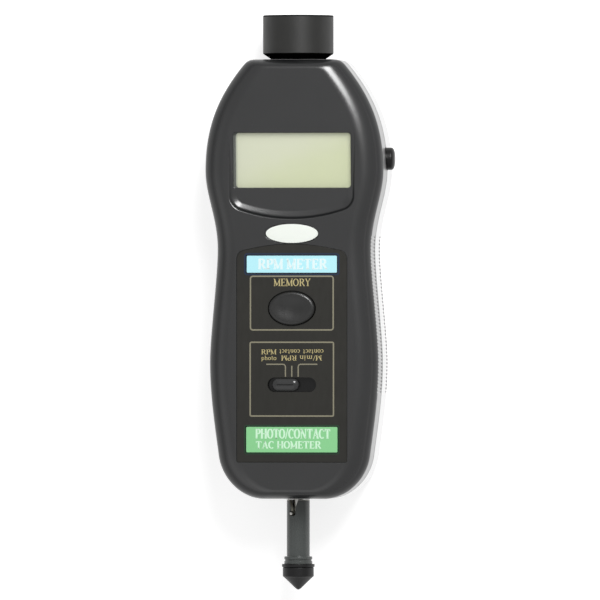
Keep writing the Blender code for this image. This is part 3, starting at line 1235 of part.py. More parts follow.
def main():
    """Build every piece."""
    clear_scene()
    black = finish("black_plastic", (0.045, 0.045, 0.047), 0.5)
    panel_black = finish("panel_film", (0.035, 0.035, 0.037), 0.6)
    barrel_black = finish("barrel_plastic", (0.03, 0.03, 0.032), 0.42)
    rubber = finish("black_rubber", (0.02, 0.02, 0.02), 0.7)
    gloss = finish("gloss_black", (0.02, 0.02, 0.021), 0.25)
    grey = finish("grey_plastic", (0.12, 0.13, 0.12), 0.45)
    clear = finish("clear_acrylic", (0.9, 0.92, 0.9), 0.05, alpha=0.35)
    glass = finish("lcd_glass", (0.62, 0.66, 0.47), 0.2)
    dark_glass = finish("sensor_glass", (0.03, 0.02, 0.03), 0.1)
    blue = finish("blue_print", (0.2, 0.55, 0.8), 0.4)
    green = finish("green_print", (0.08, 0.45, 0.22), 0.4)
    pearl = finish("pearl_white", (0.8, 0.8, 0.76), 0.3)
    board_green = finish("board_laminate", (0.03, 0.2, 0.08), 0.4)
    chip = finish("chip_black", (0.015, 0.015, 0.015), 0.5)
    steel = finish("steel", (0.62, 0.61, 0.58), 0.25, 1.0)
    bronze = finish("bronze", (0.55, 0.35, 0.18), 0.35, 1.0)
    nickel = finish("nickel", (0.6, 0.58, 0.52), 0.3, 1.0)
    jacket = finish("cell_jacket", (0.06, 0.06, 0.07), 0.35)
    make_front_case(black)
    make_rear_case(black)
    make_battery_cover(black)
    make_display(clear, glass, grey, rubber)
    make_face(panel_black, blue, green, pearl)
    make_memory_button(rubber, grey, nickel)
    make_mode_switch(gloss, grey, nickel)
    make_measure_button(rubber, grey, nickel, board_green)
    make_photo_head(barrel_black, clear, board_green, dark_glass)
    make_contact_drive(steel, bronze, grey, chip, board_green)
    make_adaptor(grey, rubber)
    make_batteries(jacket, nickel)
    make_boards(board_green, chip, nickel)
    make_screws(steel)


main()
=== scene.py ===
"""Looks of the hand-held photo/contact tachometer, lying on its back under soft light.

Each sub-assembly is a class. Its sizes are fields in millimetres, and its methods work the
surfaces out on grids and dress them. Millimetres become metres where a mesh is made. The
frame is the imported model's: +Z out of the display face, +Y towards the lens barrel.
"""

import logging
import math
from dataclasses import dataclass, replace
from enum import Enum
from typing import Any, Callable, Sequence, Union
import bmesh
import bpy
import numpy as np
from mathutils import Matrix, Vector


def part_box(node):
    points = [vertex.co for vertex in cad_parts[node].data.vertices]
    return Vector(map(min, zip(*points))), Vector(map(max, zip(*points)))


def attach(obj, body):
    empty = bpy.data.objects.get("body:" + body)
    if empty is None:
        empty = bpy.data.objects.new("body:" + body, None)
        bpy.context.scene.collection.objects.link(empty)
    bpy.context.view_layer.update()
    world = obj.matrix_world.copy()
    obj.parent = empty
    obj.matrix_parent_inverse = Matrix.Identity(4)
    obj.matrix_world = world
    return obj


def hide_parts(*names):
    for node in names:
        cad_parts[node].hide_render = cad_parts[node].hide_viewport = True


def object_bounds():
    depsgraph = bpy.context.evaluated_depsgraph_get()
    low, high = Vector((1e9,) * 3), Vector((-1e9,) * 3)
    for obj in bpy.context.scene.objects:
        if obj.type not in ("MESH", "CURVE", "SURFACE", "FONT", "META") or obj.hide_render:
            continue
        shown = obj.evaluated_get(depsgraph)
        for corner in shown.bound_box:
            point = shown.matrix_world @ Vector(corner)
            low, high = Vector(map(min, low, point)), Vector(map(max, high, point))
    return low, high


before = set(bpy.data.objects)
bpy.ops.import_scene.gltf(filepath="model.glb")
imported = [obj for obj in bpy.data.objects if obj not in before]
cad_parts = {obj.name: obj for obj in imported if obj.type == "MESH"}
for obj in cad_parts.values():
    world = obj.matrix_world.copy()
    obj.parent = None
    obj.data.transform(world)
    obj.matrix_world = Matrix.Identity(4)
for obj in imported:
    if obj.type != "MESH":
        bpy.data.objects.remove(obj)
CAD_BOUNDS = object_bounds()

log = logging.getLogger("tachometer")

MM = 0.001
HAIR = 0.01  # lift that makes two surfaces cross instead of grazing each other
OVERSHOOT = 1.5  # how far a tool stands out of the face that it cuts
CREASE = 32.0  # edges sharper than this many degrees stay sharp
FLAT_LEAD = 90  # how strongly large faces lead the normals
frozen = dataclass(frozen=True)
Patch = tuple[np.ndarray, list[list[int]]]
Shape = bpy.types.Object
Colour = tuple[float, float, float]


class Body(Enum):
    """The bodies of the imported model."""

    CASE = "case"
    COVER = "battery_cover"
    MEMORY = "memory_button"
    MODE = "mode_knob"
    MEASURE = "measure_button"
    SPINDLE = "spindle"
    ADAPTOR = "adaptor"


class Axis(Enum):
    """Turning axes, each as two directions across it and the direction along it."""

    X = ((0, 1, 0), (0, 0, 1), (1, 0, 0))
    Y = ((0, 0, 1), (1, 0, 0), (0, 1, 0))
    Z = ((1, 0, 0), (0, 1, 0), (0, 0, 1))


class Work(Enum):
    """What a Boolean does with its tool."""

    CUT = "DIFFERENCE"
    ADD = "UNION"
    KEEP = "INTERSECT"


# Surfaces


def lattice(rows: Union[np.ndarray, Sequence[np.ndarray]], ring: bool = False) -> Patch:
    """Join a grid of points into quads, column to column all the way round.

    Args:
        rows: Rows of points, each counter-clockwise about the way the rows climb.
        ring: Whether the last row also joins the first. Without it both ends are capped.

    Returns:
        The points, and the faces as lists of their numbers.
    """
    grid = np.asarray(rows)
    index = np.arange(grid[..., 0].size).reshape(grid.shape[:2])
    beside = np.roll(index, -1, axis=1)
    above, above_beside = np.roll(index, -1, axis=0), np.roll(beside, -1, axis=0)
    last = len(grid) if ring else len(grid) - 1
    quads = np.stack([index, beside, above_beside, above], axis=-1)[:last].reshape(-1, 4).tolist()
    if not ring:
        quads += [index[0, ::-1].tolist(), index[-1].tolist()]
    return grid.reshape(-1, 3), quads


def build(name: str, *patches: Patch) -> Shape:
    """Make one mesh object from patches in millimetres, with its faces outwards.

    Args:
        name: Name of the object and its mesh.
        patches: The closed surfaces that it is made of.

    Returns:
        The object, at the origin.
    """
    starts = np.cumsum([0] + [len(points) for points, _ in patches])
    points = np.vstack([points for points, _ in patches]) * MM
    faces = [[i + start for i in face] for start, (_, part) in zip(starts.tolist(), patches) for face in part]
    mesh = bpy.data.meshes.new(name)
    mesh.from_pydata(points.tolist(), [], faces)
    shape = bmesh.new()
    shape.from_mesh(mesh)
    bmesh.ops.remove_doubles(shape, verts=shape.verts, dist=1e-7)
    bmesh.ops.recalc_face_normals(shape, faces=shape.faces)
    shape.to_mesh(mesh)
    shape.free()
    obj = bpy.data.objects.new(name, mesh)
    bpy.context.scene.collection.objects.link(obj)
    return obj


def level(outline: np.ndarray, height: Union[float, np.ndarray]) -> np.ndarray:
    """The outline's points with a height, or a height each, as their third coordinate."""
    return np.column_stack([outline, np.broadcast_to(height, len(outline))])


def outward(outline: np.ndarray) -> np.ndarray:
    """Unit directions out of a counter-clockwise outline: its chord turned a quarter back."""
    chord = np.roll(outline, -1, axis=0) - np.roll(outline, 1, axis=0)
    normal = np.column_stack([chord[:, 1], -chord[:, 0]])
    return normal / np.linalg.norm(normal, axis=1, keepdims=True)


def grown(outline: np.ndarray, distance: Union[float, np.ndarray]) -> np.ndarray:
    """The outline moved outwards by a distance, or by a distance for each point."""
    return outline + outward(outline) * np.broadcast_to(distance, len(outline))[:, None]


def quarter(steps: int) -> np.ndarray:
    """Angles from nought to a right angle."""
    return np.linspace(0, np.pi / 2, steps + 1)


def prism(outline: np.ndarray, low: float, high: float) -> Patch:
    """An upright body between two heights."""
    return lattice([level(outline, low), level(outline, high)])


def block(low: Sequence[float], high: Sequence[float]) -> Patch:
    """A plain block between two corners."""
    (x0, y0, z0), (x1, y1, z1) = low, high
    return prism(np.array([(x0, y0), (x1, y0), (x1, y1), (x0, y1)], float), z0, z1)


def plate(name: str, outline: np.ndarray, low: float, high: float, edge: float = 0.0) -> Shape:
    """A flat piece between two heights, its upper edge rounded by a quarter circle.

    At angle a the edge lies in by edge * (1 - cos a) and down by edge * (1 - sin a).

    Args:
        name: Name of the piece.
        outline: Counter-clockwise outline.
        low: Height of its underside.
        high: Height of its top.
        edge: Radius of the upper edge.

    Returns:
        The object.
    """
    rows = [level(outline, low)]
    rows += [level(grown(outline, -edge * (1 - np.cos(a))), high - edge * (1 - np.sin(a)))
             for a in quarter(5 if edge else 0)]
    return build(name, lattice(rows))


def well(outline: np.ndarray, floor: float, face: float, lip: float, foot: float = 0.0) -> Patch:
    """Tool for a sunk place, with a rounded foot inside and a rounded lip at the face.

    At angle a the foot lies in by foot * (1 - sin a) and up from the floor by
    foot * (1 - cos a), and the lip lies out by lip * (1 - cos a) and down from the face by
    lip * (1 - sin a).

    Args:
        outline: Counter-clockwise outline of the sunk place between lip and foot.
        floor: Height of the floor.
        face: Height of the surface that it is sunk into.
        lip: Radius of the lip.
        foot: Radius of the foot.

    Returns:
        The tool as a patch.
    """
    rows = [level(grown(outline, -foot * (1 - math.sin(a))), floor + foot * (1 - math.cos(a)))
            for a in quarter(5)]
    rows += [level(grown(outline, lip * (1 - math.cos(a))), face + HAIR - lip * (1 - math.sin(a)))
             for a in quarter(7)]
    rows.append(level(grown(outline, lip), face + OVERSHOOT))
    return lattice(rows)


def eased(corners: Sequence[Sequence[float]], radii: Sequence[float], closed: bool = False,
          steps: int = 5) -> np.ndarray:
    """Round the corners of a line of points.

    Each corner becomes a parabola that leaves and meets its two sides at the corner's radius,
    or at 0.45 of a shorter side: p = (1-t)^2 start + 2t(1-t) corner + t^2 end.

    Args:
        corners: The points.
        radii: A radius for each point; the ends of an open line ignore theirs.
        closed: Whether the last point joins the first.
        steps: Facets of each corner.

    Returns:
        The points of the rounded line.
    """
    at = np.asarray(corners, float)
    to_last, to_next = np.roll(at, 1, axis=0) - at, np.roll(at, -1, axis=0) - at
    reach_last, reach_next = np.linalg.norm(to_last, axis=1), np.linalg.norm(to_next, axis=1)
    reach_last[reach_last == 0], reach_next[reach_next == 0] = 1, 1
    radius = np.minimum(np.asarray(radii, float), 0.45 * np.minimum(reach_last, reach_next))[:, None]
    start = at + to_last / reach_last[:, None] * radius
    end = at + to_next / reach_next[:, None] * radius
    t = np.linspace(0, 1, steps + 1)[None, :, None]
    curves = (1 - t) ** 2 * start[:, None] + 2 * t * (1 - t) * at[:, None] + t ** 2 * end[:, None]
    sharp = radius[:, 0] == 0
    rounded = [at[i:i + 1] if sharp[i] else curves[i] for i in range(len(at))]
    if not closed:
        rounded[0], rounded[-1] = at[:1], at[-1:]
    return np.vstack(rounded)


def turned(profile: np.ndarray, axis: Axis, centre: Sequence[float], columns: int = 96,
           ring: bool = False) -> Patch:
    """Turn a profile of (radius, station) points about an axis.

    A point lies at centre + station * along + radius * (cos a * first + sin a * second).

    Args:
        profile: The points, climbing along the axis on the outer side.
        axis: The turning axis.
        centre: A point on it.
        columns: Facets round the axis.
        ring: Whether the profile closes on itself, as that of a tube does.

    Returns:
        The closed surface.
    """
    first, second, along = (np.array(way, float) for way in axis.value)
    angle = np.linspace(0, 2 * np.pi, columns, endpoint=False)
    spoke = np.cos(angle)[:, None] * first + np.sin(angle)[:, None] * second
    radius, station = profile[:, 0], profile[:, 1]
    grid = (np.array(centre, float) + station[:, None, None] * along
            + radius[:, None, None] * spoke[None])
    return lattice(grid, ring=ring)


def stub(radius: float, low: float, high: float) -> np.ndarray:
    """Profile of a plain cylinder between two stations."""
    return np.array([(0, low), (radius, low), (radius, high), (0, high)])


def posts(places: Sequence[tuple[float, float]], radius: float, low: float, high: float,
          columns: int = 40) -> list[Patch]:
    """Round posts or holes along Z, one at each place."""
    return [turned(stub(radius, low, high), Axis.Z, (x, y, 0), columns) for x, y in places]


def rounded_box(width: float, height: float, radius: float, x: float = 0.0, y: float = 0.0,
                steps: int = 8) -> np.ndarray:
    """Counter-clockwise rectangle: at each corner its centre + radius * (cos a, sin a)."""
    turn = quarter(steps)[None, :] + np.arange(4)[:, None] * np.pi / 2
    signs = np.array([(1, 1), (-1, 1), (-1, -1), (1, -1)])
    centre = signs * (width / 2 - radius, height / 2 - radius) + (x, y)
    points = centre[:, None] + radius * np.stack([np.cos(turn), np.sin(turn)], axis=-1)
    return points.reshape(-1, 2)


def ellipse(width: float, height: float, x: float = 0.0, y: float = 0.0, steps: int = 96) -> np.ndarray:
    """Counter-clockwise ellipse: centre + (width/2 cos a, height/2 sin a)."""
    angle = np.linspace(0, 2 * np.pi, steps, endpoint=False)
    return np.column_stack([x + width / 2 * np.cos(angle), y + height / 2 * np.sin(angle)])


def oval(place: tuple[float, float, float, float], grow: float = 0.0) -> np.ndarray:
    """Ellipse of a width, height, x and y, with more width and height."""
    width, height, x, y = place
    return ellipse(width + grow, height + grow, x, y)


def stadium(width: float, height: float, x: float = 0.0, y: float = 0.0) -> np.ndarray:
    """Counter-clockwise outline with straight sides and half-round ends."""
    return rounded_box(width, height, height / 2 - 1e-4, x, y, 16)


def arc(x: float, y: float, radius: float, start: float, end: float, steps: int) -> np.ndarray:
    """Points on a circle between two angles in degrees."""
    angle = np.radians(np.linspace(start, end, steps + 1))
    return np.column_stack([x + radius * np.cos(angle), y + radius * np.sin(angle)])


def bars(paths: Sequence[np.ndarray], low: float, high: float, closed: bool = False,
         rise: float = 0.0) -> list[Patch]:
    """Carry an upright rectangle along each flat path.

    A path's rows are x, y and width. At each row the section's corners lie half the width
    to either side of the path, at the two heights.

    Args:
        paths: The paths.
        low: Height of the underside.
        high: Height of the top.
        closed: Whether each path joins its own start.
        rise: How much each top lies over the last, so that no two crossing ones coincide.

    Returns:
        A closed patch for each path.
    """
    patches = []
    for number, path in enumerate(paths):
        place, half = path[:, :2], path[:, 2:] / 2
        top = high + rise * number
        if closed:
            along = np.roll(place, -1, axis=0) - np.roll(place, 1, axis=0)
        else:
            along = np.gradient(place, axis=0)
        side = np.column_stack([-along[:, 1], along[:, 0]])
        side = side / np.linalg.norm(side, axis=1, keepdims=True) * half
        left, right = place + side, place - side
        corners = [level(left, top), level(right, top), level(right, low), level(left, low)]
        patches.append(lattice(np.stack(corners, axis=1), ring=closed))
    return patches


class Solid:
    """A closed mesh that others are cut from or added to, settled at the end."""

    def __init__(self, shape: Shape) -> None:
        """Start from a closed mesh object."""
        self.shape = shape
        self.tools: list[Shape] = []

    def work(self, way: Work, *patches: Patch) -> "Solid":
        """Use closed surfaces as Boolean tools, and return the solid for further calls."""
        for patch in patches:
            self._use(way, build(f"{self.shape.name}_tool_{len(self.tools)}", patch))
        return self

    def meet(self, way: Work, other: "Solid") -> "Solid":
        """Use up another solid as a tool, its own tools worked in first, and return this one."""
        other._bake()
        self._use(way, other.shape)
        self.tools += other.tools
        return self

    def _use(self, way: Work, tool: Shape) -> None:
        """Add the Boolean of one tool object."""
        tool.hide_render = True
        self.tools.append(tool)
        step = self.shape.modifiers.new(tool.name, "BOOLEAN")
        step.operation = way.value
        step.solver = "MANIFOLD"
        step.object = tool

    def settle(self) -> Shape:
        """Work the tools into the mesh and return the object."""
        self._bake()
        for tool in self.tools:
            bpy.data.objects.remove(tool, do_unlink=True)
        return self.shape

    def _bake(self) -> None:
        """Replace the mesh by what its modifiers make of it."""
        bpy.context.view_layer.update()
        seen = self.shape.evaluated_get(bpy.context.evaluated_depsgraph_get())
        mesh = bpy.data.meshes.new_from_object(seen)
        mesh.name = self.shape.name
        self.shape.modifiers.clear()
        self.shape.data = mesh


def smooth(shape: Shape) -> None:
    """Smooth shading with sharp creases, and normals weighted by the size of the faces."""
    shape.data.shade_smooth()
    shape.data.set_sharp_from_angle(angle=math.radians(CREASE))
    weigh = shape.modifiers.new("flat_faces_lead", "WEIGHTED_NORMAL")
    weigh.keep_sharp = True
    weigh.weight = FLAT_LEAD


def span(node: str) -> np.ndarray:
    """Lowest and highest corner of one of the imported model's nodes, in millimetres."""
    return np.array([tuple(corner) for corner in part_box(node)]) / MM


# Shader maths

Value = Union["Tone", float]
Input = Union["Tone", float, tuple, None]


def maths(operation: str, swapped: bool = False) -> Callable[..., "Tone"]:
    """Make a method of Tone.

    Args:
        operation: What its Math node works out.
        swapped: Whether the tone comes after the other value.

    Returns:
        The method, which adds the node over the tone and the other values.
    """

    def method(tone: "Tone", *others: Value) -> "Tone":
        """Add the Math node and return its result."""
        node = tone.tree.nodes.new("ShaderNodeMath")
        node.operation = operation
        for place, value in zip(node.inputs, (*others, tone) if swapped else (tone, *others)):
            if isinstance(value, Tone):
                tone.tree.links.new(value.socket, place)
            else:
                place.default_value = value
        return Tone(tone.tree, node.outputs[0])

    return method


class Tone:
    """A number out of a shader node. Sums, products and the like add Math nodes."""

    def __init__(self, tree: bpy.types.NodeTree, socket: bpy.types.NodeSocket) -> None:
        """Wrap an output socket of a tree."""
        self.tree = tree
        self.socket = socket

    __add__ = __radd__ = maths("ADD")
    __sub__ = maths("SUBTRACT")
    __rsub__ = maths("SUBTRACT", swapped=True)
    __mul__ = __rmul__ = maths("MULTIPLY")
    __truediv__ = maths("DIVIDE")
    over = maths("GREATER_THAN")
    size = maths("ABSOLUTE")
    least = maths("MINIMUM")
    most = maths("MAXIMUM")
    wave = maths("SINE")

    def between(self, low: float, high: float) -> "Tone":
        """Climb smoothly from nought at low to one at high."""
        share = ((self - low) / (high - low)).most(0.0).least(1.0)
        return share * share * (3.0 - 2.0 * share)


class Wiring:
    """A node tree in the making."""

    def __init__(self, tree: bpy.types.NodeTree) -> None:
        """Wrap a tree."""
        self.tree = tree

    def node(self, kind: str, settings: Union[dict[str, Any], None] = None,
             sockets: Union[dict[Any, Input], None] = None, out: Union[int, str] = 0) -> Tone:
        """Add a node.

        Args:
            kind: The node's type.
            settings: Properties that are set before the sockets.
            sockets: Values or links by the name or number of the input.
            out: The output that is wanted.

        Returns:
            That output.
        """
        node = self.tree.nodes.new(kind)
        for name, value in (settings or {}).items():
            setattr(node, name, value)
        for name, value in (sockets or {}).items():
            self.feed(node.inputs[name], value)
        return Tone(self.tree, node.outputs[out])

    def feed(self, socket: bpy.types.NodeSocket, value: Input) -> None:
        """Link a tone to a socket, or set the value on it."""
        if isinstance(value, Tone):
            self.tree.links.new(value.socket, socket)
        elif isinstance(value, tuple) and len(value) == 3 and socket.type == "RGBA":
            socket.default_value = (*value, 1.0)
        else:
            socket.default_value = value

    def ray(self, way: str) -> Tone:
        """One for a ray of a kind, and nought for others."""
        return self.node("ShaderNodeLightPath", out=f"Is {way} Ray")


class Paint(Wiring):
    """A material in the making: its node tree, its shader and its place on the object."""

    def __init__(self, name: str) -> None:
        """Open a material with one shader node."""
        self.material = bpy.data.materials.new(name)
        self.material.use_nodes = True
        super().__init__(self.material.node_tree)
        self.shader = self.tree.nodes["Principled BSDF"]
        self.place = self.node("ShaderNodeTexCoord", out="Object")

    def dress(self, **sockets: Input) -> None:
        """Feed the shader's own sockets, underscores standing for spaces in their names."""
        for name, value in sockets.items():
            self.feed(self.shader.inputs[name.replace("_", " ")], value)

    def noise(self, size: float, detail: float = 2.0, stretch: Colour = (1.0, 1.0, 1.0)) -> Tone:
        """Soft noise about one half: size is in millimetres, and stretch scales each axis."""
        where = self.place
        if stretch != (1.0, 1.0, 1.0):
            where = self.node("ShaderNodeMapping", sockets={"Vector": self.place, "Scale": stretch})
        return self.node("ShaderNodeTexNoise", sockets={
            "Vector": where, "Scale": 1 / (size * MM), "Detail": detail, "Roughness": 0.55})

    def specks(self, size: float, share: float) -> Tone:
        """Round specks, one inside: size is their spacing in millimetres, share a part of it."""
        near = self.node("ShaderNodeTexVoronoi", sockets={"Vector": self.place, "Scale": 1 / (size * MM)})
        return 1.0 - near.between(share * 0.6, share)

    def along(self, way: str) -> Tone:
        """The object coordinate along X, Y or Z, in millimetres."""
        return self.node("ShaderNodeSeparateXYZ", sockets={0: self.place}, out=way) * (1 / MM)

    def blend(self, share: Tone, first: Union[Tone, Colour], second: Union[Tone, Colour]) -> Tone:
        """Mix two colours: the first where the share is nought, the second where it is one."""
        return self.node("ShaderNodeMix", {"data_type": "RGBA"}, {0: share, 6: first, 7: second}, out=2)

    def bump(self, height: Tone, depth: float, below: Union[Tone, None] = None) -> Tone:
        """Relief from nought to one, its full height in millimetres, over a coarser relief."""
        sockets: dict[Any, Input] = {"Strength": 1.0, "Distance": depth * MM, "Height": height}
        if below is not None:
            sockets["Normal"] = below
        return self.node("ShaderNodeBump", sockets=sockets)


@frozen
class Finish:
    """What a piece is covered with: the material's name, its slot and how it is wired."""

    name: str
    slot: str

    def material(self) -> bpy.types.Material:
        """Make the material."""
        paint = Paint(self.name)
        self.cover(paint)
        return paint.material

    def cover(self, paint: Paint) -> None:
        """Wire the nodes."""
        raise NotImplementedError


@frozen
class Plastic(Finish):
    """Moulded plastic or rubber: a spark-eroded grain, slow mottling and a few dust specks."""

    colour: Colour
    roughness: float = 0.42
    grain: float = 0.22
    relief: float = 0.008
    mottle: float = 0.12
    dust: float = 0.0
    sheen: float = 0.5
    gloss: float = 0.0
    haze: float = 0.0
    lacquer: float = 1.5
    clear_above: float = 33.0
    painted_shade_below: float = 0.0

    def cover(self, paint: Paint) -> None:
        """Wire the nodes.

        Haze is how much more than usual it mirrors at a grazing angle, up to the height
        that it is clear above: there the colour is painted near white and turns metallic, a
        painted reflection. Lacquer is the refractive index of the polished skin that gloss
        puts on. Below a set height the colour is painted near black, a painted shade for
        a part that sits down in a recess.
        """
        slow = paint.noise(14.0, 3.0)
        fine = paint.noise(self.grain, 3.0)
        shade = 1.0 - self.mottle
        dark = tuple(part * shade for part in self.colour)
        light = tuple(part * (2.0 - shade) for part in self.colour)
        colour = paint.blend(slow.between(0.3, 0.7), dark, light)
        if self.dust:
            dust = paint.specks(2.6, 0.045) * self.dust
            colour = paint.blend(dust, colour, tuple(min(part * 6, 0.5) for part in self.colour))
        # Painted shade: below the set height the colour is painted near black, for the shadow down in a recess.
        if self.painted_shade_below:
            shown = paint.along("Z").between(self.painted_shade_below - 0.4, self.painted_shade_below)
            colour = paint.blend(shown, (0.003, 0.003, 0.003), colour)
        facing = paint.node("ShaderNodeLayerWeight", sockets={"Blend": 0.5}, out="Facing")
        # Painted reflection: at grazing angles the colour is painted near white and made metallic, for the white
        # table mirrored in the side walls.
        if self.haze:
            clear = paint.along("Z").between(self.clear_above - 1.0, self.clear_above)
            edge = facing.between(0.8, 0.88) * self.haze * (1.0 - clear)
            colour = paint.blend(edge, colour, (0.97, 0.97, 0.97))
            paint.dress(Metallic=edge)
        rub = paint.noise(1.4, 4.0, (1.0, 0.25, 1.0))
        rough = self.roughness + (rub - 0.5) * 0.2 + (fine - 0.5) * 0.1
        coarse = paint.bump(paint.noise(1.1, 2.0), self.relief * 1.5)
        paint.dress(Base_Color=colour, Roughness=rough, Specular_IOR_Level=self.sheen,
                    Coat_Weight=self.gloss * (1.0 - facing.between(0.14, 0.34) * 0.65),
                    Coat_Roughness=self.roughness * 0.8, Coat_IOR=self.lacquer,
                    Normal=paint.bump(fine, self.relief, coarse))


@frozen
class Ink(Finish):
    """Printed ink: an even colour with the faint speckle of a screen print."""

    colour: Colour
    roughness: float = 0.45
    speckle: float = 0.1

    def cover(self, paint: Paint) -> None:
        """Wire the nodes."""
        dots = paint.noise(0.16, 2.0)
        worn = tuple(part * (1 - self.speckle) for part in self.colour)
        paint.dress(Base_Color=paint.blend(dots.between(0.35, 0.6), worn, self.colour),
                    Roughness=self.roughness + (dots - 0.5) * 0.15,
                    Normal=paint.bump(dots, 0.003))


@frozen
class Metal(Finish):
    """Bare metal with turning or drawing marks along one direction."""

    colour: Colour
    roughness: float = 0.28
    marks: Colour = (1.0, 30.0, 1.0)
    pores: float = 0.0

    def cover(self, paint: Paint) -> None:
        """Wire the nodes."""
        lines = paint.noise(1.6, 4.0, self.marks)
        dull = tuple(part * 0.78 for part in self.colour)
        colour = paint.blend(lines.between(0.3, 0.7), dull, self.colour)
        if self.pores:
            colour = paint.blend(paint.specks(0.35, 0.25) * self.pores, colour, (0.08, 0.05, 0.03))
        paint.dress(Base_Color=colour, Metallic=1.0, Roughness=self.roughness + (lines - 0.5) * 0.2,
                    Normal=paint.bump(lines, 0.004))


@frozen
class Clear(Finish):
    """Clear acrylic: nearly invisible, with a polished face."""

    tint: Colour = (0.8, 0.84, 0.78)
    alpha: float = 0.1

    def cover(self, paint: Paint) -> None:
        """Wire the nodes."""
        haze = paint.noise(6.0, 3.0)
        paint.dress(Base_Color=paint.blend(haze, tuple(part * 0.95 for part in self.tint), self.tint),
                    Roughness=0.04 + haze * 0.04, Alpha=self.alpha)


@frozen
class LensGlass(Finish):
    """Coated lens: painted near black as a painted shade of the barrel's dark inside, behind a polished skin whose
    colour turns violet at its rim, a painted reflection of the coating.
    """

    name: str = "coated_lens"
    slot: str = "clear_acrylic"

    def cover(self, paint: Paint) -> None:
        """Wire the nodes."""
        edge = paint.node("ShaderNodeLayerWeight", sockets={"Blend": 0.35}, out="Facing")
        # Painted light: near black for the shade inside the barrel, violet at grazing angles for the coating's
        # reflection.
        paint.dress(Base_Color=paint.blend(edge, (0.012, 0.016, 0.022), (0.05, 0.03, 0.09)),
                    Roughness=0.03 + paint.noise(3.0) * 0.03, Alpha=0.82, Coat_Weight=1.0,
                    Coat_Roughness=0.02, Specular_IOR_Level=0.7)


@frozen
class LiquidCrystal(Finish):
    """Reflective display: pale green-grey, cooler at one corner, inside a thin dark rim, lit by a painted glow."""

    name: str = "liquid_crystal"
    slot: str = "lcd_glass"
    cool: Colour = (0.515, 0.53, 0.395)
    warm: Colour = (0.475, 0.505, 0.305)
    middle: float = 44.3
    shift: float = 0.15
    half_width: float = 21.6
    half_height: float = 10.2
    corner: float = 1.2
    painted_glow: float = 0.36
    edge_shade: float = 1.1

    def cover(self, paint: Paint) -> None:
        """Wire the nodes.

        The rim starts where the distance to a rounded rectangle, the length of what x and y
        go beyond its corner centres, passes the corner radius. A narrow band along the left
        edge is painted darker, a painted shade of the bezel's shadow.
        """
        x, y = paint.along("X") - self.shift, paint.along("Y") - self.middle
        over_x = (x.size() - (self.half_width - self.corner)).most(0.0)
        over_y = (y.size() - (self.half_height - self.corner)).most(0.0)
        rim = (over_x * over_x + over_y * over_y).between((self.corner - 0.06) ** 2, self.corner ** 2)
        slant = ((x - y * 2.0) / 60.0 + 0.5) + (paint.noise(9.0, 3.0) - 0.5) * 0.5
        colour = paint.blend(slant.between(0.1, 0.9), self.cool, self.warm)
        # Painted shade: the band along the left edge is painted darker, for the bezel's shadow on the crystal.
        lit = (x + self.half_width).between(-0.8, self.edge_shade)
        colour = paint.blend(lit, tuple(part * 0.2 for part in self.cool), colour)
        colour = paint.blend(rim, colour, (0.01, 0.012, 0.01))
        # Painted light: the crystal glows in its own colour though it is no lamp, lifting the shade in the bay.
        paint.dress(Base_Color=colour, Roughness=0.32 + paint.noise(0.1) * 0.1, Emission_Color=colour,
                    Emission_Strength=self.painted_glow, Normal=paint.bump(paint.noise(0.12), 0.002))


@frozen
class Laminate(Finish):
    """Circuit board: green solder mask over copper tracks, with tinned pads."""

    name: str = "solder_mask"
    slot: str = "board_laminate"
    track: float = 1.27

    def cover(self, paint: Paint) -> None:
        """Wire the nodes. Tracks are stripes that change direction from patch to patch."""
        x, y, z = paint.along("X"), paint.along("Y"), paint.along("Z")
        turn = 2 * math.pi / self.track
        patch = paint.noise(9.0, 1.0).over(0.5)
        stripes = patch * (x * turn).wave() + (1.0 - patch) * (y * turn).wave()
        tracks = (stripes + (z * 0.001)).between(0.35, 0.55)
        pads = paint.specks(2.5, 0.2)
        mask = paint.blend(tracks, (0.012, 0.10, 0.035), (0.03, 0.17, 0.05))
        paint.dress(Base_Color=paint.blend(pads, mask, (0.55, 0.55, 0.5)), Metallic=pads * 0.9,
                    Roughness=0.34 - pads * 0.08, Normal=paint.bump(tracks.most(pads), 0.03))


@frozen
class CellJacket(Finish):
    """Printed steel jacket of a cell: dark body, copper band near its plus end, bare ends."""

    low: float
    high: float
    upward: bool

    def cover(self, paint: Paint) -> None:
        """Wire the nodes. The bands are set by the distance from the minus end."""
        y = paint.along("Y")
        run = (y - self.low) if self.upward else (self.high - y)
        length = self.high - self.low
        band = run.between(length - 13.2, length - 13.0) * (1.0 - run.between(length - 2.2, length - 2.0))
        rule = run.between(length - 14.6, length - 14.5) * (1.0 - run.between(length - 14.1, length - 14.0))
        bare = (1.0 - run.between(0.7, 0.8)).most(run.between(length - 1.9, length - 1.8))
        scuff = paint.noise(5.0, 5.0, (1.0, 0.3, 1.0))
        colour = paint.blend(band, (0.018, 0.018, 0.022), (0.45, 0.2, 0.08))
        colour = paint.blend(rule, colour, (0.7, 0.7, 0.66))
        colour = paint.blend(bare, colour, (0.62, 0.6, 0.55))
        paint.dress(Base_Color=colour, Metallic=bare.most(band * 0.6), Roughness=0.26 + scuff * 0.16,
                    Normal=paint.bump(scuff, 0.01))


# Haze paints a grazing reflection on the case's walls: half on the front shell and cover, full on the rear shell.
CASE_BLACK = Plastic("case_black", "case_plastic", (0.0096, 0.01, 0.0106), 0.32, 0.24, 0.01, 0.1, 0.5, 0.08, 0.9,
                     0.5, 1.9)
REAR_BLACK = replace(CASE_BLACK, name="rear_black", haze=1.0)
PANEL_FILM = Plastic("panel_film", "panel_film", (0.0142, 0.0133, 0.0098), 0.4, 0.12, 0.004, 0.08, 0.3)
BARREL_BLACK = Plastic("barrel_black", "barrel_plastic", (0.0195, 0.0195, 0.0183), 0.46, 0.16, 0.008, 0.1)
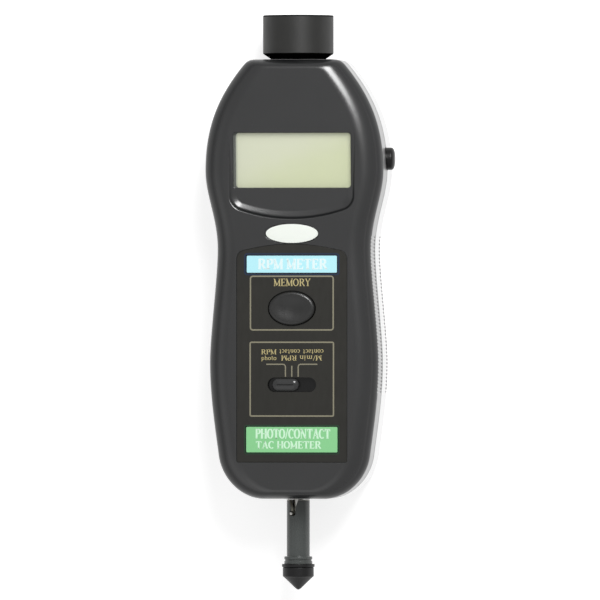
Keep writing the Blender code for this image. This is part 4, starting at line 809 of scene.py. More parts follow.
# Painted shade: near black and mirroring nothing, standing in for the shadow under the barrel.
NECK_SHADE = Plastic("neck_painted_shade", "barrel_plastic", (0.002, 0.002, 0.002), 0.5, 0.16, 0.004, sheen=0.0)
CAP_RUBBER = Plastic("cap_rubber", "black_rubber", (0.0085, 0.0085, 0.008), 0.36, 0.3, 0.0015, 0.06, gloss=0.6)
# Haze paints a grazing reflection on the side button's end.
BUTTON_RUBBER = Plastic("button_rubber", "black_rubber", (0.005, 0.005, 0.005), 0.36, 0.14, 0.006, 0.06,
                        sheen=0.3, gloss=0.15, haze=0.8)
# Painted shade: below 37.3 mm, down in the slot, the knob and its plate are painted near black.
KNOB_GLOSS = Plastic("knob_gloss", "gloss_black", (0.035, 0.0355, 0.036), 0.2, 0.3, 0.002, 0.05,
                     sheen=0.3, gloss=0.5, painted_shade_below=37.3)
SLEEVE_GREY = Plastic("sleeve_grey", "sleeve_grey", (0.072, 0.079, 0.076), 0.28, 0.3, 0.003, 0.06)
CONE_RUBBER = Plastic("cone_rubber", "cone_rubber", (0.007, 0.007, 0.0075), 0.42, 0.16, 0.01, 0.1, 0.4, 0.4)
INNER_GREY = Plastic("inner_grey", "grey_plastic", (0.1, 0.105, 0.1), 0.5, 0.3, 0.012)
CHIP_BLACK = Plastic("chip_black", "chip_black", (0.014, 0.014, 0.015), 0.55, 0.18, 0.015)
DARK_GLASS = Plastic("sensor_glass", "sensor_glass", (0.02, 0.012, 0.022), 0.1, 0.4, 0.001)
GOLD_INK = Ink("gold_ink", "panel_film", (0.27, 0.25, 0.175), 0.42, 0.12)
GOLD_LETTER_INK = Ink("gold_letter_ink", "panel_film", (0.58, 0.49, 0.23), 0.42, 0.15)
SKY_INK = Ink("sky_ink", "blue_print", (0.50, 0.90, 0.98), 0.4, 0.04)
NAVY_INK = Ink("navy_ink", "blue_print", (0.006, 0.02, 0.055), 0.4, 0.1)
SKY_LETTER_INK = Ink("sky_letter_ink", "blue_print", (0.80, 0.96, 0.97), 0.4, 0.02)
GREEN_INK = Ink("green_ink", "green_print", (0.27, 0.67, 0.30), 0.4, 0.05)
GREEN_LETTER_INK = Ink("green_letter_ink", "green_print", (0.66, 0.96, 0.70), 0.4, 0.02)
GREEN_RIM_INK = Ink("green_rim_ink", "green_print", (0.006, 0.05, 0.016), 0.4, 0.1)
PEARL = Ink("pearl_badge", "pearl_badge", (0.90, 0.94, 0.88), 0.25, 0.02)
STEEL = Metal("turned_steel", "steel", (0.66, 0.65, 0.62), 0.24)
BARE_EDGE = Metal("bare_edge", "steel", (0.8, 0.78, 0.7), 0.34, (8.0, 8.0, 8.0))
SCREW_STEEL = Metal("screw_steel", "steel", (0.5, 0.5, 0.48), 0.36, (1.0, 1.0, 12.0))
BRONZE = Metal("sintered_bronze", "bronze", (0.55, 0.34, 0.17), 0.4, (1.0, 8.0, 1.0), 0.7)
NICKEL = Metal("nickel", "nickel", (0.62, 0.6, 0.53), 0.3, (6.0, 1.0, 6.0))
WINDOW_CLEAR = Clear("window_clear", "clear_acrylic")


class Wardrobe:
    """Makes each finish once."""

    def __init__(self) -> None:
        """Start with no materials."""
        self.made: dict[Finish, bpy.types.Material] = {}

    def material(self, finish: Finish) -> bpy.types.Material:
        """The finish's material, made when first asked for."""
        if finish not in self.made:
            self.made[finish] = finish.material()
        return self.made[finish]


@dataclass
class Assembly:
    """A sub-assembly, whose pieces are dressed from a wardrobe."""

    wardrobe: Wardrobe

    def dress(self, piece: Shape, finish: Finish, *nodes: str,
              body: Body = Body.CASE) -> Shape:
        """Shade a piece and give it its finish and its body.

        Args:
            piece: The mesh object.
            finish: What it is covered with.
            nodes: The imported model's nodes that it stands for.
            body: The body that carries it.

        Returns:
            The piece.
        """
        smooth(piece)
        piece.data.materials.clear()
        piece.data.materials.append(self.wardrobe.material(finish))
        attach(piece, body.value)
        if nodes:
            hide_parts(*nodes)
        log.info("%s: %d faces on %s", piece.name, len(piece.data.polygons), body.value)
        return piece

    def touch_up(self, piece: Shape, finish: Finish,
                 where: Callable[[np.ndarray, np.ndarray, np.ndarray], np.ndarray]) -> None:
        """Give a second finish to the faces whose middles, as x, y and z, are meant."""
        mesh = piece.data
        middles = np.array([face.center for face in mesh.polygons]) / MM
        mesh.materials.append(self.wardrobe.material(finish))
        chosen = np.where(where(*middles.T), len(mesh.materials) - 1, 0).astype(np.int32)
        mesh.polygons.foreach_set("material_index", chosen)

    def carry_over(self, node: str, finish: Finish) -> None:
        """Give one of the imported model's own nodes a finish."""
        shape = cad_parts[node]
        for place in shape.material_slots:
            place.material = self.wardrobe.material(finish)
        log.info("%s keeps its shape in %s", node, finish.name)


# Housing


@frozen
class Housing:
    """The two shells' common form: a waisted outline drawn in towards front and back."""

    depth: float = 38.0
    half_length: float = 82.1
    half_width: float = 33.5
    wall: float = 2.2
    parting: float = 19.0
    gap: float = 0.15
    front_width: float = 8.0
    front_height: float = 8.0
    front_end: float = 3.6
    rear_fillet: float = 4.0
    lip_height: float = 1.4
    lip_thickness: float = 0.9
    clearance: float = 0.3
    softness: float = 15.0
    rib_top: float = 16.1
    rib_bottom: float = -42.6
    rib_pitch: float = 1.35
    rib_depth: float = 0.18
    edge: float = 0.22
    neck_bore: float = 10.6
    spindle_bore: float = 2.6
    button_bore: float = 4.5
    flange: float = 12.2
    cradle: float = 1.5
    knots: tuple[tuple[float, float, float, float, float], ...] = (
        (13.7, 82.1, 0.0, 0.0, 3.2), (19.5, 79.55, -51.0, 2.6, 14.6), (33.5, 40.5, -90.0, 16.5, 9.3),
        (28.9, 11.0, -90.0, 11.8, 10.3), (31.8, -31.2, -90.0, 10.4, 12.2), (28.5, -65.9, -97.6, 11.0, 8.7),
        (11.2, -82.1, -180.0, 8.8, 0.0))

    def side(self) -> np.ndarray:
        """Right side of the outline from top to bottom.

        A knot is a place, the heading there in degrees, and its two handles' lengths. Between
        two knots it is a cubic Bezier curve: the sum of start, two handle ends and end,
        weighted (1-t)^3, 3t(1-t)^2, 3t^2(1-t) and t^3.

        Returns:
            Points in the plane.
        """
        x, y, heading, reach_in, reach_out = np.array(self.knots).T
        way = np.column_stack([np.cos(np.radians(heading)), np.sin(np.radians(heading))])
        place = np.column_stack([x, y])
        before, after = place - way * reach_in[:, None], place + way * reach_out[:, None]
        controls = np.stack([place[:-1], after[:-1], before[1:], place[1:]], axis=1)
        t = np.linspace(0, 1, 240, endpoint=False)
        weights = np.stack([(1 - t) ** 3, 3 * t * (1 - t) ** 2, 3 * t ** 2 * (1 - t), t ** 3], axis=1)
        points = np.einsum("tk,nkd->ntd", weights, controls).reshape(-1, 2)
        return np.vstack([points, place[-1:]])

    def outline(self, count: int, close: tuple[float, float] = (0.0, 0.0), gain: float = 0.0) -> np.ndarray:
        """The whole outline, counter-clockwise, with points closer together over a stretch.

        Points are spread evenly over length * (1 + gain inside the stretch).

        Args:
            count: How many points.
            close: Lowest and highest Y of the stretch.
            gain: How much closer they lie there.

        Returns:
            Points in the plane.
        """
        side = self.side()
        whole = np.vstack([side[::-1], side * (-1, 1), side[-1:]])
        step = np.linalg.norm(np.diff(whole, axis=0), axis=1)
        middle = (whole[1:, 1] + whole[:-1, 1]) / 2
        step = step * (1 + gain * ((middle > close[0]) & (middle < close[1])))
        run = np.concatenate([[0], np.cumsum(step)])
        wanted = np.linspace(0, run[-1], count, endpoint=False)
        return np.column_stack([np.interp(wanted, run, whole[:, axis]) for axis in (0, 1)])

    def half_width_at(self, y: float) -> float:
        """Half the housing's width at a place along it."""
        side = self.side()[::-1]
        return float(np.interp(y, side[:, 1], side[:, 0]))

    def loft(self, outline: np.ndarray, levels: np.ndarray) -> np.ndarray:
        """Stack the outline, drawn in by a side and an end inset at each height.

        A point is (x - side * tanh(x / softness), y * (1 - end / half length), z), with the
        hyperbolic tangent scaled to reach one at the half width.

        Args:
            outline: Counter-clockwise outline.
            levels: Rows of z, side inset and end inset.

        Returns:
            The grid of points.
        """
        z, side, end = levels.T
        pull = np.tanh(outline[:, 0] / self.softness) / math.tanh(self.half_width / self.softness)
        x = outline[None, :, 0] - side[:, None] * pull[None]
        y = outline[None, :, 1] * (1 - end / self.half_length)[:, None]
        return np.stack([x, y, np.broadcast_to(z[:, None], x.shape)], axis=-1)

    def grip_outline(self, count: int = 1500) -> np.ndarray:
        """The whole outline with its points closer together along the grip ribs."""
        return self.outline(count, (self.rib_bottom - 1, self.rib_top + 1), 3.4)

    def ribbed(self, grid: np.ndarray, low: float, high: float) -> np.ndarray:
        """Press the grip grooves into the side walls.

        A point moves in by depth * groove * ends, where the groove repeats along Y as a
        sine squared off a little, and the ends fade it out at both heights and both ends.

        Args:
            grid: Points of the skin.
            low: Height at which the grooves start.
            high: Height at which they end.

        Returns:
            The points, moved in X.
        """
        x, y, z = grid[..., 0], grid[..., 1], grid[..., 2]
        groove = np.clip(0.5 + 0.9 * np.sin(2 * np.pi * (self.rib_top - y) / self.rib_pitch), 0, 1)
        height = np.clip((z - low) / 1.0, 0, 1) * np.clip((high - z) / 1.0, 0, 1)
        reach = np.clip((self.rib_top - y) / 0.4, 0, 1) * np.clip((y - self.rib_bottom) / 0.4, 0, 1)
        return np.stack([x - np.sign(x) * self.rib_depth * groove * np.sqrt(height) * reach, y, z], axis=-1)

    def front_levels(self, inset: float = 0.0, base: float = 0.0, steps: int = 22) -> np.ndarray:
        """Heights and insets of the front shell: a small edge, a straight wall, a quarter ellipse."""
        start = np.array([[base, inset, inset]])
        if not inset:
            a = quarter(3)
            edge = self.edge * (1 - np.sin(a))
            wall = base + 1.7 + np.linspace(0, 1.0, 5)
            start = np.vstack([np.column_stack([base + self.edge * (1 - np.cos(a)), edge, edge]),
                               np.column_stack([wall, wall * 0, wall * 0])])
        a = quarter(steps)
        draw = 1 - np.cos(a)
        fillet = np.column_stack([
            self.depth - self.front_height + (self.front_height - inset) * np.sin(a),
            inset + (self.front_width - inset) * draw, inset + self.front_end * draw])
        return np.vstack([start, fillet])

    def rear_levels(self, top: float, inset: float = 0.0, steps: int = 9) -> np.ndarray:
        """Heights and insets of the rear shell up to a height: a quarter circle, then the wall."""
        radius = self.rear_fillet - inset
        a = quarter(steps)
        draw = inset + radius * (1 - np.sin(a))
        fillet = np.column_stack([self.rear_fillet - radius * np.cos(a), draw, draw])
        return np.vstack([fillet, [[top, inset, inset]]])

    def shared_holes(self) -> list[Patch]:
        """Holes that cross the parting plane: lens barrel, spindle and side button."""
        end, wall, centre = self.half_length, self.wall, (0, 0, self.parting)
        side = self.half_width_at(SIDE_BUTTON_Y)
        return [turned(stub(self.neck_bore, end - 3 * wall, end + wall), Axis.Y, centre),
                turned(stub(self.spindle_bore, -end - wall, 3 * wall - end), Axis.Y, centre, 48),
                turned(stub(self.button_bore, side - 3 * wall, side + wall), Axis.X,
                       (0, SIDE_BUTTON_Y, self.parting), 64)]

    @property
    def cradle_y(self) -> float:
        """Face of the wall behind the barrel's flange."""
        return self.half_length - self.wall - 2 * self.clearance - self.wall / 2

    def cradle_wall(self, low: float, high: float) -> Patch:
        """Wall behind the barrel's flange."""
        half = self.flange + self.wall / 2
        return block((-half, self.cradle_y - self.cradle, low), (half, self.cradle_y, high))

    def cradle_bore(self) -> Patch:
        """Bore in that wall for the barrel's tail."""
        bore = stub(self.neck_bore, self.cradle_y - 2 * self.wall, self.cradle_y + self.wall)
        return turned(bore, Axis.Y, (0, 0, self.parting))


@frozen
class CoverPlan:
    """Plan of the sliding battery cover, which its channel follows."""

    half: float = 17.7
    tongue: float = 1.2
    top: float = 56.8
    end: float = -84.3

    def slab(self, low: float, high: float, grow: float = 0.0, tongue: float = 0.0) -> Patch:
        """A block over the plan, grown at its sides and top, with tongues at its sides."""
        half = self.half + grow + tongue
        return block((-half, self.end, low), (half, self.top + grow, high))


SIDE_BUTTON_Y = 45.0
HOUSING = Housing()
COVER = CoverPlan()
CASE_SCREWS = ((20.0, 63.5), (-20.0, 63.5), (21.6, -48.0), (-21.6, -48.0))
BOARD_SCREWS = ((19.0, 26.0), (-19.0, 26.0), (18.5, -24.0), (-18.5, -24.0))
CASE_BOSS, CASE_PILOT = 3.3, 1.75
BOARD_BOSS, BOARD_PILOT = 2.4, 1.3


@frozen
class DisplayBay:
    """The sunk, sloping place round the display: flush at its top edge, deepest at its foot."""

    half_width: float = 23.75
    top: float = 55.6
    apex: float = 22.2
    corner_y: float = 31.3
    corner: float = 6.2
    depth: float = 2.3
    full_fall: float = 1.5
    edge: tuple[tuple[float, float, float], ...] = (
        (-4.4, 0.0, 0.0), (-3.1, 0.0, 1.1), (-1.05, 0.4, 0.6), (-0.1, 1.0, 0.45), (0.9, 1.0, 0.0))
    window_width: float = 44.2
    window_height: float = 20.8
    window_y: float = 44.3
    window_corner: float = 1.0
    ledge: float = 1.4
    side_ledge: float = 1.05
    window_lip: float = 0.9
    window_edge: float = 0.22
    window_floor: float = -6.6
    seat_floor: float = -8.8

    @property
    def slope(self) -> float:
        """Lean of the floor, as an angle."""
        return math.atan2(self.depth, self.top - self.apex)

    def lean(self, points: np.ndarray) -> np.ndarray:
        """Turn points drawn on a flat floor about the top edge, onto the sloping floor."""
        x, y, z = points[..., 0], points[..., 1] - self.top, points[..., 2]
        cos, sin = math.cos(self.slope), math.sin(self.slope)
        return np.stack([x, self.top + y * cos - z * sin, HOUSING.depth + y * sin + z * cos], axis=-1)

    def outline(self) -> np.ndarray:
        """Counter-clockwise outline: straight sides, round lower corners, arched lower edge.

        The arch touches the corner circles. With k from the apex up to their centres its
        radius is (k^2 + reach^2 - corner^2) / (2 (k - corner)).
        """
        reach, k = self.half_width - self.corner, self.corner_y - self.apex
        radius = (k ** 2 + reach ** 2 - self.corner ** 2) / (2 * (k - self.corner))
        sweep = math.degrees(math.asin(reach / (radius - self.corner)))
        left = arc(-reach, self.corner_y, self.corner, 180, 270 - sweep, 10)
        foot = arc(0, self.apex + radius, radius, 270 - sweep, 270 + sweep, 44)[1:-1]
        right = arc(reach, self.corner_y, self.corner, 270 + sweep, 360, 10)
        climb = np.linspace(self.corner_y, self.top, 22)[1:]
        across = np.linspace(self.half_width, -self.half_width, 16)[1:-1]
        side = np.column_stack([np.full(len(climb), self.half_width), climb])
        return np.vstack([left, foot, right, side, np.column_stack([across, np.full(len(across), self.top)]),
                          (side * (-1, 1))[::-1]])

    def floor(self, points: np.ndarray) -> np.ndarray:
        """Height of the sloping floor: the face less the fall from the top edge."""
        return HOUSING.depth - 0.02 - (self.top - points[:, 1]) * math.tan(self.slope)

    def tools(self) -> list[Patch]:
        """Tools for the bay, the window in its floor and the pane's seat behind it."""
        width, height, gap = self.window_width, self.window_height, HOUSING.clearance
        window = rounded_box(width, height, self.window_corner, 0, self.window_y)
        seat = rounded_box(width + 2 * (self.side_ledge + gap), height + 2 * (self.ledge + gap),
                           self.window_corner, 0, self.window_y)
        flat = (well(window, self.window_floor, 0.0, self.window_edge),
                prism(seat, self.seat_floor, -self.window_lip))
        return [self.basin(), *((self.lean(points), faces) for points, faces in flat)]

    def basin(self) -> Patch:
        """Tool for the bay itself: a shallow ramp round the floor, a steep wall and a soft lip.

        Each edge row is an offset, a rise and a corner radius. At a point of the outline the
        row lies offset * min(1, fall / full fall) outside it, and at the height
        (1 - rise) * floor + rise * face.

        Returns:
            The tool as a patch.
        """
        outline = self.outline()
        scale = np.minimum(1.0, (HOUSING.depth - self.floor(outline)) / self.full_fall)
        edge = np.array(self.edge)
        profile = eased(edge[:, :2] * (1.0, self.depth), edge[:, 2], steps=6)[:-1] / (1.0, self.depth)
        rows = []
        for offset, rise in profile:
            ring = grown(outline, offset * scale)
            rows.append(level(ring, self.floor(ring) * (1 - rise) + (HOUSING.depth + HAIR) * rise))
        rows.append(level(rows[-1][:, :2], HOUSING.depth + OVERSHOOT))
        return lattice(rows)


@frozen
class PanelShape:
    """Outline of the face panel: round shoulders under a shallow arch, small lower corners."""

    half_width: float = 20.75
    top: float = 13.1
    shoulder: float = 10.9
    bottom: float = -68.3
    corner: float = 3.4
    low_corner: float = 0.6

    def outline(self, inset: float = 0.0) -> np.ndarray:
        """The outline drawn in by an inset, counter-clockwise from its lower right corner."""
        half, corner = self.half_width - inset, self.corner - inset
        bottom, shoulder = self.bottom + inset, self.shoulder - inset
        rise = self.top - self.shoulder
        reach = half - corner
        radius = (reach ** 2 + rise ** 2) / (2 * rise)
        sweep = math.degrees(math.asin(reach / radius))
        low = self.low_corner
        climb = np.linspace(bottom + low, shoulder - corner, 30)[1:-1]
        side = np.column_stack([np.full(len(climb), half), climb])
        return np.vstack([
            arc(half - low, bottom + low, low, -90, 0, 4), side,
            arc(half - corner, shoulder - corner, corner, 0, 90 - sweep, 8),
            arc(0, self.top - inset - radius, radius, 90 - sweep, 90 + sweep, 40)[1:-1],
            arc(corner - half, shoulder - corner, corner, 90 + sweep, 180, 8),
            (side * (-1, 1))[::-1], arc(low - half, bottom + low, low, 180, 270, 4)])


DISPLAY = DisplayBay()
PANEL = PanelShape()
MEMORY = (17.4, 12.6, 0.0, -10.9)
MODE_SLOT = (18.2, 5.4, 0.0, -39.4)
BADGE = (19.6, 7.05, 0.0, 17.0)


@dataclass
class FrontShell(Assembly):
    """Front half of the housing, with every sunk place and the bosses behind it."""

    panel_depth: float = 1.0
    panel_lip: float = 0.22
    board_face: float = 28.0
    rib_low: float = 1.7
    rib_high: float = 31.2
    pad: tuple[float, float, float] = (51.9, 37.1, 5.0)
    case_pilot: float = 11.2
    board_pilot: float = 6.1

    def make(self) -> None:
        """Loft the shell, hollow it, stand its bosses and sink its places."""
        base = HOUSING.parting + HOUSING.gap
        skin = HOUSING.loft(HOUSING.grip_outline(), HOUSING.front_levels(base=base))
        skin = HOUSING.ribbed(skin, base + self.rib_low, self.rib_high)
        shell = Solid(build("front_shell", lattice(skin)))
        hollow = HOUSING.loft(HOUSING.outline(240), HOUSING.front_levels(
            HOUSING.wall, HOUSING.parting - HOUSING.wall, 8))
        shell.work(Work.CUT, lattice(hollow))
        shell.work(Work.ADD, *self.bosses())
        shell.work(Work.CUT, *self.pilots(), self.rebate(), *DISPLAY.tools(), *self.sunk_places(),
                   *HOUSING.shared_holes())
        self.dress(shell.settle(), CASE_BLACK, "front_case")

    def bosses(self) -> list[Patch]:
        """Display pad, screw bosses and the barrel's cradle."""
        inner, top = HOUSING.depth - HOUSING.wall, HOUSING.depth - HOUSING.wall / 2
        low = HOUSING.parting + HOUSING.gap
        pad = rounded_box(*self.pad, 0, (DISPLAY.top + DISPLAY.apex) / 2)
        return [prism(pad, inner - DISPLAY.depth, top), *posts(CASE_SCREWS, CASE_BOSS, low, top),
                *posts(BOARD_SCREWS, BOARD_BOSS, self.board_face + HOUSING.clearance, top),
                HOUSING.cradle_wall(low, top)]

    def pilots(self) -> list[Patch]:
        """Screw holes in the bosses and the cradle's bore."""
        parting, board, wall = HOUSING.parting, self.board_face, HOUSING.wall
        return [*posts(CASE_SCREWS, CASE_PILOT, parting - wall, parting + self.case_pilot, 24),
                *posts(BOARD_SCREWS, BOARD_PILOT, board - wall, board + self.board_pilot, 24),
                HOUSING.cradle_bore()]

    def rebate(self) -> Patch:
        """Step inside the parting edge that the rear shell's lip slips into."""
        inset = HOUSING.wall - HOUSING.lip_thickness - HOUSING.clearance
        levels = np.array([(HOUSING.parting - HOUSING.wall, inset, inset),
                           (HOUSING.parting + HOUSING.gap + HOUSING.lip_height, inset, inset)])
        return lattice(HOUSING.loft(HOUSING.outline(240), levels))

    def sunk_places(self) -> list[Patch]:
        """Panel recess, badge recess, and the holes of the memory button and mode switch."""
        face, gap = HOUSING.depth, 2 * HOUSING.clearance
        low, through = face - self.panel_depth, face + HOUSING.wall
        return [well(PANEL.outline(), low, face, self.panel_lip, 0.12),
                well(oval(BADGE, gap), low, face, 0.3, 0.1),
                prism(oval(MEMORY, gap), face - 3 * HOUSING.wall, through),
                prism(stadium(*MODE_SLOT), face - 2 * HOUSING.wall, through)]


@dataclass
class RearShell(Assembly):
    """Rear half of the housing, with ribbed grips, battery bay, cover channel and screw wells."""

    rib_low: float = 4.6
    rib_high: float = 16.0
    bay_half: float = 15.2
    bay_reach: float = 54.3
    bay_wall: float = 1.6
    bay_roof: float = 17.05
    channel: float = 2.3
    channel_gap: float = 0.3
    ledge: float = 1.1
    well_radius: float = 3.0
    well_top: float = 11.0

    def levels(self) -> np.ndarray:
        """Heights and insets of the skin, close together where the ribs start and end."""
        top = HOUSING.parting - HOUSING.gap
        ends = np.linspace(0, 1.0, 5)
        wall = np.concatenate([self.rib_low + ends, np.linspace(self.rib_low + 2.5, self.rib_high - 2.5, 5),
                               self.rib_high - ends[::-1], [top - 0.25]])
        a = quarter(3)
        drawn = HOUSING.edge * (1 - np.cos(a))
        edge = np.column_stack([top - HOUSING.edge * (1 - np.sin(a)), drawn, drawn])
        return np.vstack([HOUSING.rear_levels(top)[:-1], np.column_stack([wall, wall * 0, wall * 0]), edge])

    def make(self) -> None:
        """Loft the skin, hollow it round what stands inside, add the lip and cut every opening."""
        skin = HOUSING.ribbed(HOUSING.loft(HOUSING.grip_outline(), self.levels()), self.rib_low, self.rib_high)
        shell = Solid(build("rear_shell", lattice(skin)))
        hollow = Solid(build("rear_hollow", lattice(HOUSING.loft(HOUSING.outline(240), HOUSING.rear_levels(
            HOUSING.parting + HOUSING.wall, HOUSING.wall, 5)))))
        shell.meet(Work.CUT, hollow.work(Work.CUT, *self.standing()))
        shell.work(Work.ADD, self.lip())
        shell.work(Work.CUT, *self.openings())
        self.dress(shell.settle(), REAR_BLACK, "rear_case")

    def lip(self) -> Patch:
        """Ring above the parting edge that slips into the front shell's rebate."""
        top = HOUSING.parting - HOUSING.gap + HOUSING.lip_height
        low, lip = HOUSING.parting - 2 * HOUSING.wall, HOUSING.wall - HOUSING.lip_thickness
        rows = [(low, lip), (top, lip), (top, HOUSING.wall), (low, HOUSING.wall)]
        levels = np.array([(z, inset, inset) for z, inset in rows])
        return lattice(HOUSING.loft(HOUSING.outline(240), levels), ring=True)

    def standing(self) -> list[Patch]:
        """What the hollow leaves: channel floor, bay walls, cradle and screw bosses."""
        low, high = -HOUSING.wall, HOUSING.parting + 2 * HOUSING.wall
        ledge = COVER.half + COVER.tongue + self.ledge
        bay_x, bay_y = self.bay_half + self.bay_wall, self.bay_reach + self.bay_wall
        return [block((-ledge, -86.0, low), (ledge, COVER.top + HOUSING.wall, self.channel + HOUSING.wall)),
                block((-bay_x, -bay_y, low), (bay_x, bay_y, self.bay_roof + self.bay_wall)),
                HOUSING.cradle_wall(low, high), *posts(CASE_SCREWS, CASE_BOSS, low, high)]

    def openings(self) -> list[Patch]:
        """Screw holes and wells, bay, cover channel, cradle bore and the shared holes."""
        low, radius, top = -HOUSING.wall, self.well_radius, self.well_top
        mouth = np.array([(0, low), (radius + 0.6, low), (radius + 0.6, -0.05), (radius + 0.3, 0.16),
                          (radius, 0.6), (radius, top), (0, top)])
        return [*posts(CASE_SCREWS, CASE_PILOT, 0, HOUSING.parting + HOUSING.wall, 24),
                *(turned(mouth, Axis.Z, (x, y, 0), 64) for x, y in CASE_SCREWS),
                block((-self.bay_half, -self.bay_reach, low), (self.bay_half, self.bay_reach, self.bay_roof)),
                COVER.slab(low, self.channel, self.channel_gap),
                COVER.slab(0.6, self.channel, self.channel_gap, COVER.tongue),
                HOUSING.cradle_bore(), *HOUSING.shared_holes()]


@dataclass
class BatteryCover(Assembly):
    """Sliding cover: the housing's own back, with tongues, thumb ridges and an arrow."""

    thickness: float = 2.0
    tongue_low: float = 0.9
    ridges: int = 5
    ridge_pitch: float = 2.4
    ridge_width: float = 16.0
    ridge_depth: float = 0.5
    arrow_wing: float = 4.6
    arrow_shaft: float = 1.5
    arrow_depth: float = 0.3

    def make(self) -> None:
        """Keep the part of the rear form inside a bar, then cut the grip."""
        form = HOUSING.loft(HOUSING.outline(420), HOUSING.rear_levels(HOUSING.parting))
        shape = Solid(build("sliding_cover", lattice(form)))
        bar = Solid(build("cover_bar", COVER.slab(-HOUSING.wall, self.thickness)))
        bar.work(Work.ADD, COVER.slab(self.tongue_low, self.thickness, tongue=COVER.tongue))
        shape.meet(Work.KEEP, bar).work(Work.CUT, *self.grip())
        self.dress(shape.settle(), CASE_BLACK, "battery_cover", body=Body.COVER)

    def grip(self) -> list[Patch]:
        """Rounded grooves across the top end, and an arrow that points the way it slides."""
        grooves = []
        for index in range(self.ridges):
            middle = COVER.top - (index + 2) * self.ridge_pitch + self.ridge_pitch / 4
            outline = stadium(self.ridge_width, self.ridge_pitch / 2, 0, middle)
            rows = [level(grown(outline, out), height) for out, height in (
                (0.25, -1.0), (0.25, -0.02), (0.08, 0.1), (0.0, 0.25), (-0.2, self.ridge_depth))]
            grooves.append(lattice(rows))
        tip, wing, shaft = COVER.top - 25.0, self.arrow_wing, self.arrow_shaft
        neck, end = tip + 5.2, tip + 10
        arrow = [(0, tip), (wing, neck), (shaft, neck), (shaft, end), (-shaft, end), (-shaft, neck), (-wing, neck)]
        outline = eased(arrow, [0.3] * len(arrow), closed=True, steps=4)
        return [*grooves, prism(outline, -1.0, self.arrow_depth)]


# Lettering

THICK, THIN = 0.17, 0.075


def line(x0: float, y0: float, x1: float, y1: float, width: float = THICK) -> np.ndarray:
    """A straight stroke, as rows of x, y and width on a letter one unit high."""
    return np.array([(x0, y0, width), (x1, y1, width)])


def serif(x: float, y: float, reach: float = 0.15) -> np.ndarray:
    """A short thin bar across the end of a stroke."""
    return line(x - reach, y, x + reach, y, THIN)


def bow(x: float, y: float, wide: float, tall: float, start: float = 0.0, end: float = 360.0,
        thick: float = THICK) -> np.ndarray:
    """A curved stroke on an ellipse, thick where it runs upright and thin where it runs level."""
    angle = np.radians(np.linspace(start, end, 25))
    width = THIN + (thick - THIN) * np.abs(np.cos(angle))
    return np.column_stack([x + wide * np.cos(angle), y + tall * np.sin(angle), width])


